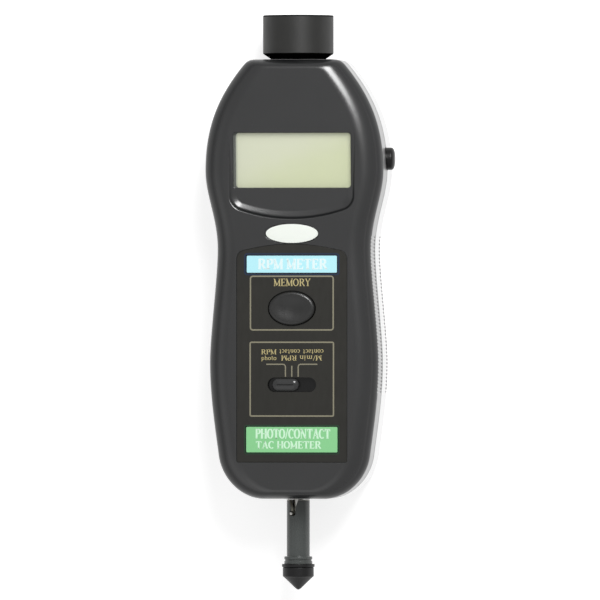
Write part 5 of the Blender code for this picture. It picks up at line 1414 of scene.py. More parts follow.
FOOT, HEAD, SMALL = 0.035, 0.965, 0.13
ARCH = [bow(0.36, 0.42, 0.18, 0.20, 0, 160, 0.14), line(0.54, 0, 0.54, 0.44, 0.14), serif(0.17, FOOT, 0.11),
        serif(0.54, FOOT, 0.11)]
LETTERS: dict[str, tuple[float, list[np.ndarray]]] = {
    "M": (1.02, [line(0.15, 0, 0.15, 1, 0.09), line(0.85, 0, 0.85, 1), line(0.13, 0.97, 0.48, 0.06, 0.16),
                 line(0.48, 0.06, 0.85, 0.97, THIN), serif(0.15, FOOT, 0.13), serif(0.85, FOOT),
                 serif(0.11, HEAD, 0.11), serif(0.88, HEAD, 0.13)]),
    "E": (0.76, [line(0.2, 0, 0.2, 1), line(0.06, FOOT, 0.67, FOOT, THIN), line(0.06, HEAD, 0.65, HEAD, THIN),
                 line(0.2, 0.5, 0.5, 0.5, THIN), line(0.66, 0, 0.66, 0.25, THIN),
                 line(0.64, 1, 0.64, 0.77, THIN), line(0.5, 0.63, 0.5, 0.38, THIN)]),
    "O": (0.88, [bow(0.43, 0.5, 0.34, 0.465)]),
    "R": (0.86, [line(0.2, 0, 0.2, 1), serif(0.2, FOOT), line(0.06, HEAD, 0.42, HEAD, THIN),
                 bow(0.40, 0.74, 0.25, 0.225, -90, 90), line(0.2, 0.515, 0.42, 0.515, THIN),
                 line(0.42, 0.5, 0.75, 0.03, 0.15), serif(0.77, FOOT, 0.08)]),
    "P": (0.76, [line(0.2, 0, 0.2, 1), serif(0.2, FOOT), line(0.06, HEAD, 0.42, HEAD, THIN),
                 bow(0.40, 0.73, 0.26, 0.235, -90, 90), line(0.2, 0.495, 0.42, 0.495, THIN)]),
    "Y": (0.82, [line(0.13, 1, 0.42, 0.46, 0.15), line(0.71, 1, 0.42, 0.46, THIN), line(0.42, 0, 0.42, 0.48),
                 serif(0.42, FOOT), serif(0.14, HEAD, 0.13), serif(0.70, HEAD, 0.11)]),
    "H": (0.96, [line(0.2, 0, 0.2, 1), line(0.76, 0, 0.76, 1), line(0.2, 0.5, 0.76, 0.5, THIN),
                 serif(0.2, FOOT), serif(0.76, FOOT), serif(0.2, HEAD), serif(0.76, HEAD)]),
    "T": (0.84, [line(0.42, 0, 0.42, 1), serif(0.42, FOOT, 0.16), line(0.06, HEAD, 0.78, HEAD, THIN),
                 line(0.08, 1, 0.08, 0.75, THIN), line(0.76, 1, 0.76, 0.75, THIN)]),
    "C": (0.82, [bow(0.45, 0.5, 0.35, 0.465, 50, 310), line(0.69, 0.72, 0.69, 0.98, THIN)]),
    "N": (0.96, [line(0.18, 0, 0.18, 1, THIN), line(0.78, 0, 0.78, 1, THIN), line(0.16, 0.97, 0.78, 0.03, 0.16),
                 serif(0.18, FOOT, SMALL), serif(0.13, HEAD, 0.11), serif(0.78, HEAD, SMALL)]),
    "A": (0.90, [line(0.43, 1, 0.14, 0, THIN), line(0.43, 1, 0.74, 0), line(0.24, 0.33, 0.63, 0.33, THIN),
                 serif(0.14, FOOT, 0.11), serif(0.75, FOOT, 0.14)]),
    "/": (0.46, [line(0.05, -0.03, 0.39, 1.03, 0.09)]),
    " ": (0.34, []),
    "c": (0.58, [bow(0.31, 0.33, 0.23, 0.30, 45, 315, 0.15)]),
    "o": (0.64, [bow(0.31, 0.33, 0.24, 0.30, 0, 360, 0.15)]),
    "n": (0.74, [line(0.17, 0, 0.17, 0.66, 0.14), *ARCH]),
    "h": (0.74, [line(0.17, 0, 0.17, 1, 0.14), *ARCH]),
    "m": (1.08, [line(0.17, 0, 0.17, 0.66, 0.14), bow(0.34, 0.42, 0.17, 0.20, 0, 160, 0.13),
                 line(0.51, 0, 0.51, 0.44, 0.14), bow(0.68, 0.42, 0.17, 0.20, 0, 160, 0.13),
                 line(0.85, 0, 0.85, 0.44, 0.14), serif(0.17, FOOT, 0.1), serif(0.51, FOOT, 0.1),
                 serif(0.85, FOOT, 0.1)]),
    "t": (0.48, [line(0.21, 0.1, 0.21, 0.92, 0.13), line(0.05, 0.63, 0.40, 0.63, THIN),
                 bow(0.31, 0.13, 0.10, 0.10, 180, 310, 0.1)]),
    "a": (0.62, [bow(0.27, 0.19, 0.17, 0.16, 0, 360, 0.12), line(0.46, 0, 0.46, 0.46, 0.14),
                 bow(0.30, 0.45, 0.16, 0.17, 0, 155, 0.12)]),
    "p": (0.68, [line(0.17, -0.3, 0.17, 0.66, 0.14), bow(0.34, 0.33, 0.21, 0.29, 0, 360, 0.13),
                 serif(0.17, -0.27, 0.11)]),
    "i": (0.34, [line(0.17, 0, 0.17, 0.66, 0.14), line(0.17, 0.80, 0.17, 0.95, 0.15), serif(0.17, FOOT, 0.11)]),
}


@frozen
class Words:
    """A word of printed lettering, fitted to a box on the face."""

    text: str
    left: float
    low: float
    right: float
    high: float
    upside_down: bool = False
    weight: float = 1.0

    def strokes(self) -> list[np.ndarray]:
        """The word's strokes as rows of x, y and width.

        Letters stand beside each other at their advances, and the run is scaled to the box.

        Returns:
            One array for each stroke.
        """
        run = sum(LETTERS[letter][0] for letter in self.text)
        across, up = (self.right - self.left) / run, self.high - self.low
        strokes, at = [], 0.0
        for letter in self.text:
            advance, forms = LETTERS[letter]
            for form in forms:
                x, y = self.left + (form[:, 0] + at) * across, self.low + form[:, 1] * up
                strokes.append(np.column_stack([x, y, form[:, 2] * self.weight * (across + up) / 2]))
            at += advance
        if self.upside_down:
            middle = np.array([self.left + self.right, self.low + self.high, 0.0])
            strokes = [middle - stroke * (1, 1, -1) for stroke in strokes]
        return strokes


PRINT: dict[str, tuple[tuple[Words, ...], Ink]] = {
    "gold_lettering": ((
        Words("MEMORY", -6.85, -2.62, 7.05, 0.16, weight=0.9),
        Words("RPM", -11.55, -28.05, -5.75, -26.25, weight=0.95),
        Words("photo", -11.5, -30.15, -5.75, -28.55, weight=0.95),
        Words("contact", -4.75, -28.0, 3.05, -26.2, True, 0.9),
        Words("RPM", -4.0, -30.35, 1.9, -28.5, True, 0.95),
        Words("contact", 4.1, -28.0, 11.95, -26.2, True, 0.9),
        Words("M/min", 2.8, -30.35, 11.3, -28.5, True, 0.95)), GOLD_LETTER_INK),
    "blue_lettering": ((Words("RPM METER", -12.8, 3.7, 13.3, 7.5, weight=1.45),), SKY_LETTER_INK),
    "green_lettering": ((
        Words("PHOTO/CONTACT", -13.75, -59.45, 14.5, -55.85, weight=1.4),
        Words("TAC HOMETER", -13.6, -63.15, 11.0, -60.45, weight=1.4)), GREEN_LETTER_INK),
}


def drawn(path: np.ndarray, width: float) -> np.ndarray:
    """A flat path with a line width at each point."""
    return np.column_stack([path, np.full(len(path), width)])


# Face


@dataclass
class FacePanel(Assembly):
    """Printed face: sunk panel, colour strips, oval badge, frames, pointers and lettering."""

    low: float = 37.3
    high: float = 37.8
    print_height: float = 0.02
    print_foot: float = 0.05
    gap: float = 0.6
    badge_edge: float = 0.12
    badge_sweep: float = 1.35
    blue: tuple[float, float, float] = (34.1, 6.55, 5.55)
    green: tuple[float, float, float] = (34.5, 9.7, -59.85)
    gold: tuple[tuple[float, float, float, float], ...] = (
        (31.1, 20.0, -8.95, 0.9), (31.3, 27.5, -37.3, 0.5))
    film_edge: float = 0.08
    label_corner: float = 0.6
    label_edge: float = 0.06
    border: float = 0.12
    line_width: float = 0.52

    def make(self) -> None:
        """Build the film and everything on it."""
        self.film()
        self.strip("blue_label", "blue_strip", self.blue, NAVY_INK, SKY_INK)
        self.strip("green_label", "green_strip", self.green, GREEN_RIM_INK, GREEN_INK)
        self.badge()
        self.frames()
        self.pointers()
        self.lettering()

    def film(self) -> None:
        """The panel with its openings."""
        film = Solid(plate("panel_film_sheet", PANEL.outline(0.05), self.low, self.high, self.film_edge))
        openings = [oval(MEMORY, self.gap), stadium(*MODE_SLOT)]
        openings += [rounded_box(width + self.gap, height + self.gap, self.label_corner, 0, y)
                     for width, height, y in (self.blue, self.green)]
        film.work(Work.CUT, *(well(outline, self.low - 1, self.high, self.film_edge) for outline in openings))
        self.dress(film.settle(), PANEL_FILM, "face_panel")

    def strip(self, name: str, node: str, size: tuple[float, float, float], rim: Ink, bright: Ink) -> None:
        """A colour strip: a dark base and the bright field printed inside it.

        Args:
            name: Name of the pieces.
            node: The node that the base stands for.
            size: Width, height and place along Y.
            rim: Ink of the border.
            bright: Ink of the field.
        """
        width, height, y = size
        base = rounded_box(width, height, self.label_corner, 0, y)
        self.dress(plate(f"{name}_base", base, self.low, self.high, self.label_edge), rim, node)
        inner = rounded_box(width - 2 * self.border, height - 2 * self.border, self.label_corner * 0.7, 0, y)
        self.dress(plate(f"{name}_field", inner, self.high - self.print_foot,
                                  self.high + self.print_height), bright)

    def badge(self) -> None:
        """Bare oval badge: ellipses that shrink while they rise as a shallow dome."""
        sweep, foot = np.linspace(0, self.badge_sweep, 12), self.high - self.badge_edge
        share = np.concatenate([[1.0, 1.0], np.cos(sweep)])
        height = np.concatenate([[self.low, foot],
                                 foot + self.badge_edge * np.sin(sweep) / math.sin(self.badge_sweep)])
        rows = [level(ellipse(BADGE[0] * s, BADGE[1] * s, *BADGE[2:]), z) for s, z in zip(share, height)]
        self.dress(build("oval_badge_plate", lattice(rows)), PEARL, "oval_badge")

    def printed(self, name: str, ink: Ink, paths: Sequence[np.ndarray], closed: bool = False,
                layers: int = 1, rise: float = 0.0) -> None:
        """Print lines on the film as one piece, some prints thick, each a rise over the last."""
        low, high = self.high - self.print_foot, self.high + layers * self.print_height
        self.dress(build(name, *bars(paths, low, high, closed, rise)), ink)

    def frames(self) -> None:
        """Thin gold frames round the memory button and the mode switch, and the strips' rims."""
        self.printed("gold_frames", GOLD_INK, [
            drawn(rounded_box(width, height, corner, 0, y, 6), self.line_width)
            for width, height, y, corner in self.gold], closed=True)
        for name, (width, height, y), rim, ink in (("blue_rim", self.blue, 0.55, NAVY_INK),
                                                   ("green_rim", self.green, 0.3, GREEN_RIM_INK)):
            grow = self.gap + rim
            outline = rounded_box(width + grow, height + grow, self.label_corner + rim / 2, 0, y)
            self.printed(name, ink, [drawn(outline, rim)], closed=True)

    def pointers(self) -> None:
        """Lines from the mode words down to the switch's three places."""
        outer = [(-9.6, -31.75), (-2.4, -31.75), (-2.4, -36.4)]
        radii = [0.0, 1.1, 0.0]
        paths = (eased(outer, radii), eased([(-x, y) for x, y in outer], radii),
                 np.array([(0.0, -32.3), (0.0, -36.4)]))
        self.printed("gold_pointers", GOLD_INK, [drawn(path, self.line_width * 0.85) for path in paths])

    def lettering(self) -> None:
        """Every printed word."""
        for name, (words, ink) in PRINT.items():
            strokes = [stroke for word in words for stroke in word.strokes()]
            self.printed(name, ink, strokes, layers=2, rise=self.print_height / len(strokes))


@dataclass
class Display(Assembly):
    """Liquid-crystal panel behind its clear pane."""

    pane_top: float = -1.2
    pane_thickness: float = 1.0
    gap: float = 0.3
    thickness: float = 2.4
    edge: float = 0.08

    def make(self) -> None:
        """Build the pane and the panel on the display bay's slope."""
        self.piece("clear_pane", 2.0, DISPLAY.window_corner, self.pane_top,
                   self.pane_thickness, WINDOW_CLEAR, "display_window")
        top = self.pane_top - self.pane_thickness - self.gap
        self.piece("crystal_panel", 1.0, DISPLAY.window_corner / 2, top,
                   self.thickness, LiquidCrystal(), "lcd_panel")

    def piece(self, name: str, grow: float, corner: float, top: float, thickness: float,
              finish: Finish, node: str) -> None:
        """A leaning rounded slab as wide as the window and a margin.

        Args:
            name: Name of the piece.
            grow: How many of the window's ledges it is wider and taller than the window.
            corner: Radius of its corners.
            top: Height of its face over the bay's floor.
            thickness: Its thickness.
            finish: Its finish.
            node: The node that it stands for.
        """
        outline = rounded_box(DISPLAY.window_width + grow * DISPLAY.side_ledge,
                              DISPLAY.window_height + grow * DISPLAY.ledge, corner, 0, DISPLAY.window_y)
        rows = [level(outline, top - thickness), level(outline, top - self.edge),
                level(grown(outline, -self.edge), top)]
        points, faces = lattice(rows)
        self.dress(build(name, (DISPLAY.lean(points), faces)), finish, node)


# Controls


@dataclass
class MemoryButton(Assembly):
    """Oval rubber button with a rounded rim, a dished face and a hidden flange."""

    proud: float = 1.1
    dish: float = 0.52
    flange: float = 1.3
    flange_top: float = 35.5
    flange_thickness: float = 1.1

    def make(self) -> None:
        """Stack ellipses from the flange up over the rim and down into the dish.

        The rim is a quarter circle of the proud height. Inside it the face lies at
        top - dish * (1 - r^2)^2, with r the share of the rim's inner radius.
        """
        top, rim = HOUSING.depth + self.proud, self.proud
        low, flange = self.flange_top - self.flange_thickness, 2 * self.flange
        a = quarter(10)
        rows = [(low, flange), (self.flange_top - 0.15, flange), (self.flange_top, flange - 0.3),
                (self.flange_top, 0.0), *zip(top - rim * (1 - np.sin(a)), -2 * rim * (1 - np.cos(a)))]
        rings = [level(oval(MEMORY, grow), z) for z, grow in rows]
        width, height = MEMORY[0] - 2 * rim, MEMORY[1] - 2 * rim
        rings += [level(ellipse(width * s, height * s, *MEMORY[2:]), top - self.dish * (1 - s ** 2) ** 2)
                  for s in np.linspace(1, 0.02, 16)[1:]]
        button = build("memory_cap", lattice(rings))
        self.dress(button, CAP_RUBBER, "memory_button", body=Body.MEMORY)


@dataclass
class ModeSwitch(Assembly):
    """Three-place slide: a crowned knob on its shutter plate."""

    x: float = -2.4
    width: float = 10.2
    height: float = 4.8
    proud: float = 0.9
    rounding: float = 2.1
    plate_top: float = 35.5
    plate_thickness: float = 0.8
    plate_width: float = 27.8
    plate_height: float = 9.8
    foot: float = 0.5
    socket: float = 1.2

    def make(self) -> None:
        """Crown the knob, join its plate and cut the lever's socket.

        The crown rises as sin(a) while its outline draws in by 1 - cos(a).
        """
        y, reach = MODE_SLOT[3], self.rounding
        foot, rise = HOUSING.depth - self.foot, self.proud + self.foot
        outline = stadium(self.width, self.height, self.x, y)
        rows = [level(outline, self.plate_top - 0.4)]
        rows += [level(grown(outline, -reach * (1 - math.cos(a))), foot + rise * math.sin(a))
                 for a in quarter(16)]
        knob = Solid(build("slide_knob", lattice(rows)))
        shutter = rounded_box(self.plate_width, self.plate_height, 1.1, self.x, y)
        low, half = self.plate_top - self.plate_thickness, self.socket
        knob.work(Work.ADD, prism(shutter, low, self.plate_top))
        knob.work(Work.CUT, block((self.x - half, y - half, low - 2),
                                  (self.x + half, y + half, self.plate_top + 0.8)))
        self.dress(knob.settle(), KNOB_GLOSS, "mode_knob", body=Body.MODE)


@dataclass
class MeasureButton(Assembly):
    """Round side button with a domed end and a hidden flange."""

    radius: float = 4.2
    dome: float = 1.4
    flange_thickness: float = 1.1

    def make(self) -> None:
        """Turn the button; its flange comes from the node that it stands for."""
        low, high = span("measure_button")
        flange, step = (high[1] - low[1]) / 2, low[0] + self.flange_thickness
        side = eased([(0, low[0]), (flange, low[0]), (flange, step), (self.radius, step)], [0, 0.15, 0.15, 0])
        a = quarter(12)
        dome = np.column_stack([self.radius * np.cos(a) ** 0.7, high[0] - self.dome * (1 - np.sin(a))])
        place = (0, SIDE_BUTTON_Y, HOUSING.parting)
        button = build("side_button", turned(np.vstack([side, dome]), Axis.X, place, 80))
        self.dress(button, BUTTON_RUBBER, "measure_button", body=Body.MEASURE)


# Photo head


@dataclass
class PhotoHead(Assembly):
    """Lens barrel with its threaded bore, the lens and its retaining ring."""

    front: float = 98.65
    rear: float = 84.3
    radius: float = 13.2
    neck: float = 10.3
    bore: float = 10.5
    tail: float = 75.3
    seat: float = 90.85
    thread_low: float = 95.3
    crown: float = 1.8

    def make(self) -> None:
        """Turn the barrel, the lens and the ring."""
        top = HOUSING.half_length
        flange = top - HOUSING.wall - 0.3
        corners = [
            (8.0, self.tail), (self.neck, self.tail), (self.neck, flange - 1.1), (12.2, flange - 1.1),
            (12.2, flange), (self.neck, flange), (self.neck, top + 0.3), (self.radius, self.rear),
            (self.radius, self.front), (self.bore + 0.6, self.front), (self.bore, self.front - 0.6)]
        radii = [0, 0, 0, 0.1, 0.1, 0, 0.3, 0.35, 0.5, 0.2, 0.2]
        outer = eased(corners, radii)
        thread = self.thread(self.thread_low, self.front - 0.9)
        inner = np.array([(self.bore, self.seat), (9.3, self.seat), (9.3, self.rear + 1.2), (8.0, self.rear)])
        profile = np.vstack([outer, thread, inner])
        barrel = build("lens_tube", turned(profile, Axis.Y, (0, 0, HOUSING.parting), 128, ring=True))
        self.dress(barrel, BARREL_BLACK, "lens_barrel")
        # Painted shade: the neck under the barrel is painted near black, and the front rim's outer chamfer gets the
        # same near-black finish.
        self.touch_up(barrel, NECK_SHADE, lambda x, y, z: (
            (y < self.rear + 0.1) | ((y > self.front - 0.55) & (np.hypot(x, z - HOUSING.parting) > self.bore + 1))))
        self.lens()
        self.ring()

    def thread(self, low: float, high: float) -> np.ndarray:
        """Fine grooves inside the rim that keep stray light down: radius swings as a wave."""
        station = np.linspace(high, low, 41)
        radius = self.bore - 0.01 + 0.16 * np.sin(np.linspace(0, 8 * np.pi, 41)) ** 2
        return np.column_stack([radius, station])

    def lens(self) -> None:
        """Turn the lens: a flat back, a straight rim, and a crown that falls with r squared."""
        low, high = span("front_lens")
        rim = (high[0] - low[0]) / 2
        share = np.linspace(1, 0, 20)
        crown = np.column_stack([rim * share, high[1] - self.crown * share ** 2])
        profile = np.vstack([[(0, low[1]), (rim, low[1])], crown])
        lens = build("crown_lens", turned(profile, Axis.Y, (0, 0, HOUSING.parting), 96))
        self.dress(lens, LensGlass(), "front_lens")

    def ring(self) -> None:
        """Turn the retaining ring and cut its two spanner notches."""
        low, high = span("lens_ring")
        back, front, rim = low[1], high[1], (high[0] - low[0]) / 2
        corners = [(rim - 1.2, back), (rim, back), (rim, front), (rim - 1.2, front)]
        profile = eased(corners, [0.1, 0.1, 0.25, 0.35], closed=True, steps=3)
        ring = Solid(build("retaining_ring", turned(profile, Axis.Y, (0, 0, HOUSING.parting), 96, ring=True)))
        for middle in (0.6 - rim, rim - 0.6):
            ring.work(Work.CUT, block((middle - 1.4, front - 0.6, HOUSING.parting - 0.5),
                                      (middle + 1.4, front + 0.5, HOUSING.parting + 0.5)))
        self.dress(ring.settle(), BARREL_BLACK, "lens_ring")


# Contact drive


@dataclass
class ContactDrive(Assembly):
    """Steel spindle with its cross pin, the slotted sleeve and the rubber cone."""

    radius: float = 2.0
    collar: float = 3.4
    pin_radius: float = 0.65
    pin_y: float = -87.6
    pin_angle: float = -32.0
    slot_angle: float = -20.0
    sleeve_radius: float = 4.3
    sleeve_top: float = -82.4
    sleeve_end: float = -103.7
    collar_radius: float = 5.25
    collar_end: float = -106.5
    nose_end: float = -110.1
    nose_radius: float = 2.8
    slot_mouth: float = 4.0
    slot_funnel: float = 3.0
    ring_groove: float = 0.3
    cone_gap: float = 0.05
    spindle_collar: float = -76.3
    reach: float = 6.5

    @property
    def centre(self) -> tuple[float, float, float]:
        """A point on the common axis."""
        return (0.0, 0.0, HOUSING.parting)

    def rolled(self, patch: Patch, degrees: float) -> Patch:
        """Turn a patch drawn about Z = 0 round the Y axis, then lift it to the common axis."""
        points, faces = patch
        cos, sin = math.cos(math.radians(degrees)), math.sin(math.radians(degrees))
        x, y, z = points.T
        return np.column_stack([x * cos + z * sin, y, z * cos - x * sin + HOUSING.parting]), faces

    def make(self) -> None:
        """Build the four pieces."""
        self.spindle()
        self.sleeve()
        self.cone()

    def spindle(self) -> None:
        """Turn the spindle and the pin that crosses it."""
        outer, inner = span("spindle")[:, 1]
        radius, collar, low = self.radius, self.collar, self.spindle_collar
        corners = [(0, outer), (radius, outer), (radius, low), (collar, low), (collar, low + 1.0),
                   (radius, low + 1.0), (radius, inner), (0, inner)]
        profile = eased(corners, [0, 0.3, 0, 0.1, 0.1, 0, 0.3, 0], steps=3)
        shaft = Solid(build("spindle_shaft", turned(profile, Axis.Y, self.centre, 64)))
        shaft.work(Work.CUT, self.rolled(self.rod(self.pin_radius + 0.3, 9.0), self.pin_angle))
        self.dress(shaft.settle(), STEEL, "spindle", body=Body.SPINDLE)
        reach = self.sleeve_radius + 0.15
        ends = eased([(0, -reach), (self.pin_radius, -reach), (self.pin_radius, reach), (0, reach)],
                     [0, 0.3, 0.3, 0], steps=4)
        pin = self.rolled(turned(ends, Axis.Z, (0, self.pin_y, 0), 40), self.pin_angle)
        self.dress(build("drive_pin", pin), STEEL, "cross_pin", body=Body.SPINDLE)

    def rod(self, radius: float, reach: float) -> Patch:
        """A plain rod along Z through the pin's place, drawn about Z = 0."""
        return turned(stub(radius, -reach, reach), Axis.Z, (0, self.pin_y, 0), 32)

    def sleeve(self) -> None:
        """Turn the sleeve with its two-ringed collar, then cut the bayonet slot."""
        bore, bore_end = self.radius + 0.3, -98.3
        groove, waist = (self.sleeve_end + self.collar_end) / 2, self.collar_radius - self.ring_groove
        corners = [
            (0, self.nose_end), (self.nose_radius, self.nose_end), (self.nose_radius, self.collar_end),
            (self.collar_radius, self.collar_end), (self.collar_radius, groove - 0.3),
            (waist, groove - 0.3), (waist, groove + 0.3),
            (self.collar_radius, groove + 0.3), (self.collar_radius, self.sleeve_end),
            (self.sleeve_radius, self.sleeve_end), (self.sleeve_radius, self.sleeve_top),
            (bore, self.sleeve_top), (bore, bore_end), (0, bore_end)]
        radii = [0, 0.3, 0, 0.1, 0.25, 0, 0, 0.25, 0.3, 0.25, 0.3, 0.15, 0, 0]
        sleeve = Solid(build("contact_sleeve", turned(eased(corners, radii), Axis.Y, self.centre, 96)))
        half, mouth = self.pin_radius + 0.3, self.slot_mouth / 2
        top = self.sleeve_top
        outline = np.vstack([arc(0, self.pin_y, half, 180, 360, 14), [
            (half, top - self.slot_funnel), (mouth, top), (mouth, top + 2), (-mouth, top + 2), (-mouth, top),
            (-half, top - self.slot_funnel)]])
        sleeve.work(Work.CUT, self.rolled(prism(outline, -self.reach, self.reach), self.slot_angle),
                    self.rolled(self.rod(half, self.reach), self.pin_angle))
        tube = self.dress(sleeve.settle(), SLEEVE_GREY, "adaptor_sleeve", body=Body.ADAPTOR)
        self.touch_up(tube, BARE_EDGE, lambda x, y, z: (
            (y > self.sleeve_top - 0.3) | ((y > -90) & (
                np.hypot(x, z - HOUSING.parting) < self.sleeve_radius - 0.05))))

    def cone(self) -> None:
        """Turn the rubber tip: thin flange, straight body, cone with a rounded point."""
        seat = self.collar_end - self.cone_gap
        body, base = self.collar_end - 1.3, self.collar_end - 5.0
        apex = base - 4.7
        socket = self.nose_radius + 0.3
        corners = [(0, apex), (0.9, apex + 0.45), (5.3, base), (5.8, base + 0.35), (5.8, body - 0.15),
                   (5.55, body + 0.05), (6.1, body + 0.2), (6.1, seat), (socket, seat),
                   (socket, self.nose_end - 0.3), (0, self.nose_end - 0.3)]
        radii = [0, 0.7, 0.35, 0.35, 0.2, 0.08, 0.15, 0.1, 0.15, 0, 0]
        cone = build("rubber_tip", turned(eased(corners, radii), Axis.Y, self.centre, 96))
        self.dress(cone, CONE_RUBBER, "cone_tip", body=Body.ADAPTOR)


@dataclass
class CaseScrews(Assembly):
    """Four pan-head screws with cross recesses, seen down the wells in the back."""

    seat: float = 10.7
    head_radius: float = 2.7
    head_height: float = 1.8
    shank: float = 1.45
    tip: float = 28.0

    def make(self) -> None:
        """Build each screw, numbered as its node is."""
        for number in range(1, 5):
            node = f"case_screw_{number}"
            x, y, _ = span(node).mean(axis=0)
            self.screw(node, x, y)

    def screw(self, node: str, x: float, y: float) -> None:
        """Turn a screw with its thread and cut the cross recess from below.

        The thread's radius swings between the shank's and 0.78 of it, one turn a pitch.

        Args:
            node: The node that it stands for.
            x: Place of its axis.
            y: Place of its axis.
        """
        low = self.seat - self.head_height
        head = eased([(0, low), (1.9, low), (self.head_radius, low + 0.9), (self.head_radius, self.seat),
                      (self.shank, self.seat)], [0, 0.6, 0.5, 0.1, 0])
        station = np.linspace(self.seat + 0.3, self.tip - 1.5, 97)
        thread = np.column_stack([self.shank * (0.89 + 0.11 * np.cos(np.linspace(0, 32 * np.pi, 97))), station])
        profile = np.vstack([head, thread, [(0.4, self.tip), (0, self.tip)]])
        screw = Solid(build(f"{node}_pan_head", turned(profile, Axis.Z, (x, y, 0), 40)))
        for wide, tall in ((1.35, 0.32), (0.32, 1.35)):
            mouth = rounded_box(2 * wide, 2 * tall, 0.2, x, y)
            floor = rounded_box(1.3 * wide, 1.6 * tall, 0.15, x, y)
            rows = [level(mouth, low - 0.5), level(mouth, low + 0.1), level(floor, low + 1.1)]
            screw.work(Work.CUT, lattice(rows))
        self.dress(screw.settle(), SCREW_STEEL, node)


INSIDE: dict[Finish, tuple[str, ...]] = {
    INNER_GREY: ("lcd_frame", "memory_switch", "mode_switch", "measure_switch", "bearing_block"),
    BUTTON_RUBBER: ("zebra_strip_upper", "zebra_strip_lower"),
    Laminate(): ("main_board", "switch_board", "sensor_board", "encoder_board"),
    CHIP_BLACK: ("microcontroller", "light_gate", "encoder_disc"),
    BARREL_BLACK: ("sensor_holder",),
    DARK_GLASS: ("photo_sensor",),
    WINDOW_CLEAR: ("light_source",),
    STEEL: ("spindle_clip",),
    BRONZE: ("bearing_inner", "bearing_outer"),
    NICKEL: ("memory_plunger", "mode_lever", "measure_plunger", "crystal", "spring_upper", "spring_lower",
             "contact_upper_left", "contact_upper_right", "contact_lower_bridge",
             *(f"board_screw_{number}" for number in range(1, 5))),
}


@dataclass
class Interior(Assembly):
    """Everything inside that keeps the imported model's shape and gets its real finish."""


    def make(self) -> None:
        """Dress the nodes, and each cell by the way it points."""
        for finish, nodes in INSIDE.items():
            for node in nodes:
                self.carry_over(node, finish)
        for column, upward in (("left", True), ("right", False)):
            for row in ("lower", "upper"):
                node = f"cell_{column}_{row}"
                low, high = span(node)[:, 1].tolist()
                self.carry_over(node, CellJacket(f"{node}_jacket", "cell_jacket", low, high, upward))


# Studio


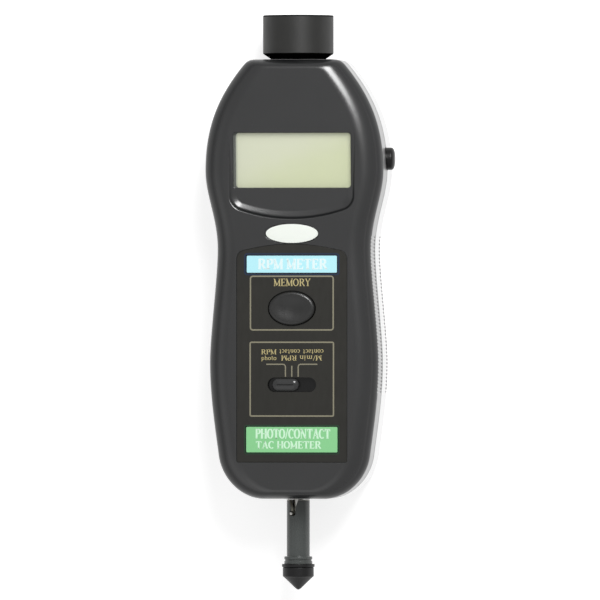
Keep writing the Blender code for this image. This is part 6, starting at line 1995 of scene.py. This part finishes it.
@dataclass
class Studio:
    """White table, pale surroundings, one soft lamp and the camera."""

    turn: float = 7.4
    distance: float = 4.988
    lens: float = 800.0
    target: tuple[float, float, float] = (0.00064, -0.0078, 0.019)
    world_light: float = 0.42
    overhead: float = 0.07
    ring: float = 0.16
    lean: float = 0.6
    lean_to: float = 220.0
    lamp_power: float = 5.3
    fill_power: float = 0.6
    reach: float = 4.0
    table_z: float = -0.0002
    table_glow: float = 0.72

    def make(self) -> None:
        """Set up everything round the object."""
        self.table()
        self.surroundings()
        self.lamp("key_lamp", 62.0, 51.5, 0.85, (0.32, 0.5), self.lamp_power)
        self.lamp("fill_lamp", 255.0, 60.0, 1.2, (0.9, 0.9), self.fill_power)
        self.camera()
        bpy.context.scene.view_settings.view_transform = "Standard"

    def table(self) -> None:
        """White table top whose lit colour and own glow make white; mirrored, it is plain white."""
        mesh = bpy.data.meshes.new("table_top")
        corners = [(x * self.reach, y * self.reach, self.table_z) for x, y in ((-1, -1), (1, -1), (1, 1), (-1, 1))]
        mesh.from_pydata(corners, [], [(0, 1, 2, 3)])
        table = bpy.data.objects.new("table_top", mesh)
        bpy.context.scene.collection.objects.link(table)
        paint = Paint("table_white")
        seen, mirrored = paint.ray("Camera").most(paint.ray("Transmission")), paint.ray("Glossy")
        paint.dress(Base_Color=paint.blend(mirrored, (0.6, 0.6, 0.6), (0.0, 0.0, 0.0)), Roughness=0.8,
                    Specular_IOR_Level=0.0, Emission_Color=(1.0, 1.0, 1.0),
                    Emission_Strength=(seen * self.table_glow).most(mirrored))
        mesh.materials.append(paint.material)

    def surroundings(self) -> None:
        """World that lights softly, looks white where it is seen, and mirrors darker above.

        Mirrored strength is one at the horizon and falls to overhead + lean * (share of the
        direction towards the window) a little above it. A ring about 50 degrees up adds its
        own strength, so that only the zenith stays dark.
        """
        world = bpy.data.worlds.new("pale_room")
        world.use_nodes = True
        bpy.context.scene.world = world
        wiring = Wiring(world.node_tree)
        way = wiring.node("ShaderNodeTexCoord", out="Generated")
        x, y, z = (wiring.node("ShaderNodeSeparateXYZ", sockets={0: way}, out=axis) for axis in "XYZ")
        up, turn = z.most(0.0), math.radians(self.lean_to)
        side = x * math.cos(turn) + y * math.sin(turn)
        ring = (1.0 - up.between(0.85, 1.0)) * up.between(0.35, 0.65)
        mirrored = 1.0 - up.between(0.0, 0.12) * (1.0 - self.overhead - ring * self.ring - side * self.lean)
        seen = wiring.ray("Camera").most(wiring.ray("Transmission"))
        background = world.node_tree.nodes["Background"]
        wiring.feed(background.inputs["Strength"], seen.most(wiring.ray("Glossy") * mirrored).most(self.world_light))
        wiring.feed(background.inputs["Color"], (1.0, 1.0, 1.0))

    def lamp(self, name: str, azimuth: float, height: float, distance: float, size: tuple[float, float],
             power: float) -> None:
        """An oval soft lamp aimed at the middle of the object.

        Args:
            name: Its name.
            azimuth: Direction from +X towards +Y, in degrees.
            height: Angle above the table, in degrees.
            distance: Distance from the object, in metres.
            size: Width and height of its face, in metres.
            power: Power, in watts.
        """
        light = bpy.data.lights.new(name, "AREA")
        light.shape = "ELLIPSE"
        light.size, light.size_y = size
        light.energy = power
        lamp = bpy.data.objects.new(name, light)
        bpy.context.scene.collection.objects.link(lamp)
        turn, rise = math.radians(azimuth), math.radians(height)
        way = np.array([math.cos(turn) * math.cos(rise), math.sin(turn) * math.cos(rise), math.sin(rise)])
        self.aim(lamp, way, distance)

    def aim(self, obj: Shape, way: np.ndarray, distance: float) -> None:
        """Put an object out along a direction from the target and point it back."""
        place = np.array(self.target) + way * distance
        obj.location = tuple(place)
        quaternion = type(CAD_BOUNDS[0])(tuple(-way)).to_track_quat("-Z", "Y")
        obj.rotation_euler = quaternion.to_euler()

    def camera(self) -> None:
        """Long lens nearly straight above, turned a little towards the side button."""
        camera = bpy.data.objects.new("camera", bpy.data.cameras.new("camera"))
        camera.data.lens = self.lens
        camera.data.sensor_width = 36.0
        camera.data.clip_start = 0.01
        camera.data.clip_end = 50.0
        bpy.context.scene.collection.objects.link(camera)
        turn = math.radians(self.turn)
        place = np.array(self.target) + self.distance * np.array([math.sin(turn), 0.0, math.cos(turn)])
        camera.location = tuple(place)
        camera.rotation_euler = (0.0, turn, 0.0)
        bpy.context.scene.camera = camera


def main() -> None:
    """Build the studio and every sub-assembly."""
    logging.basicConfig(level=logging.INFO, format="%(message)s")
    wardrobe = Wardrobe()
    Studio().make()
    for assembly in (FrontShell, RearShell, BatteryCover, FacePanel, Display, MemoryButton, ModeSwitch,
                     MeasureButton, PhotoHead, ContactDrive, CaseScrews, Interior):
        log.info("building %s", assembly.__name__)
        assembly(wardrobe).make()


if __name__ == "__main__":
    main()
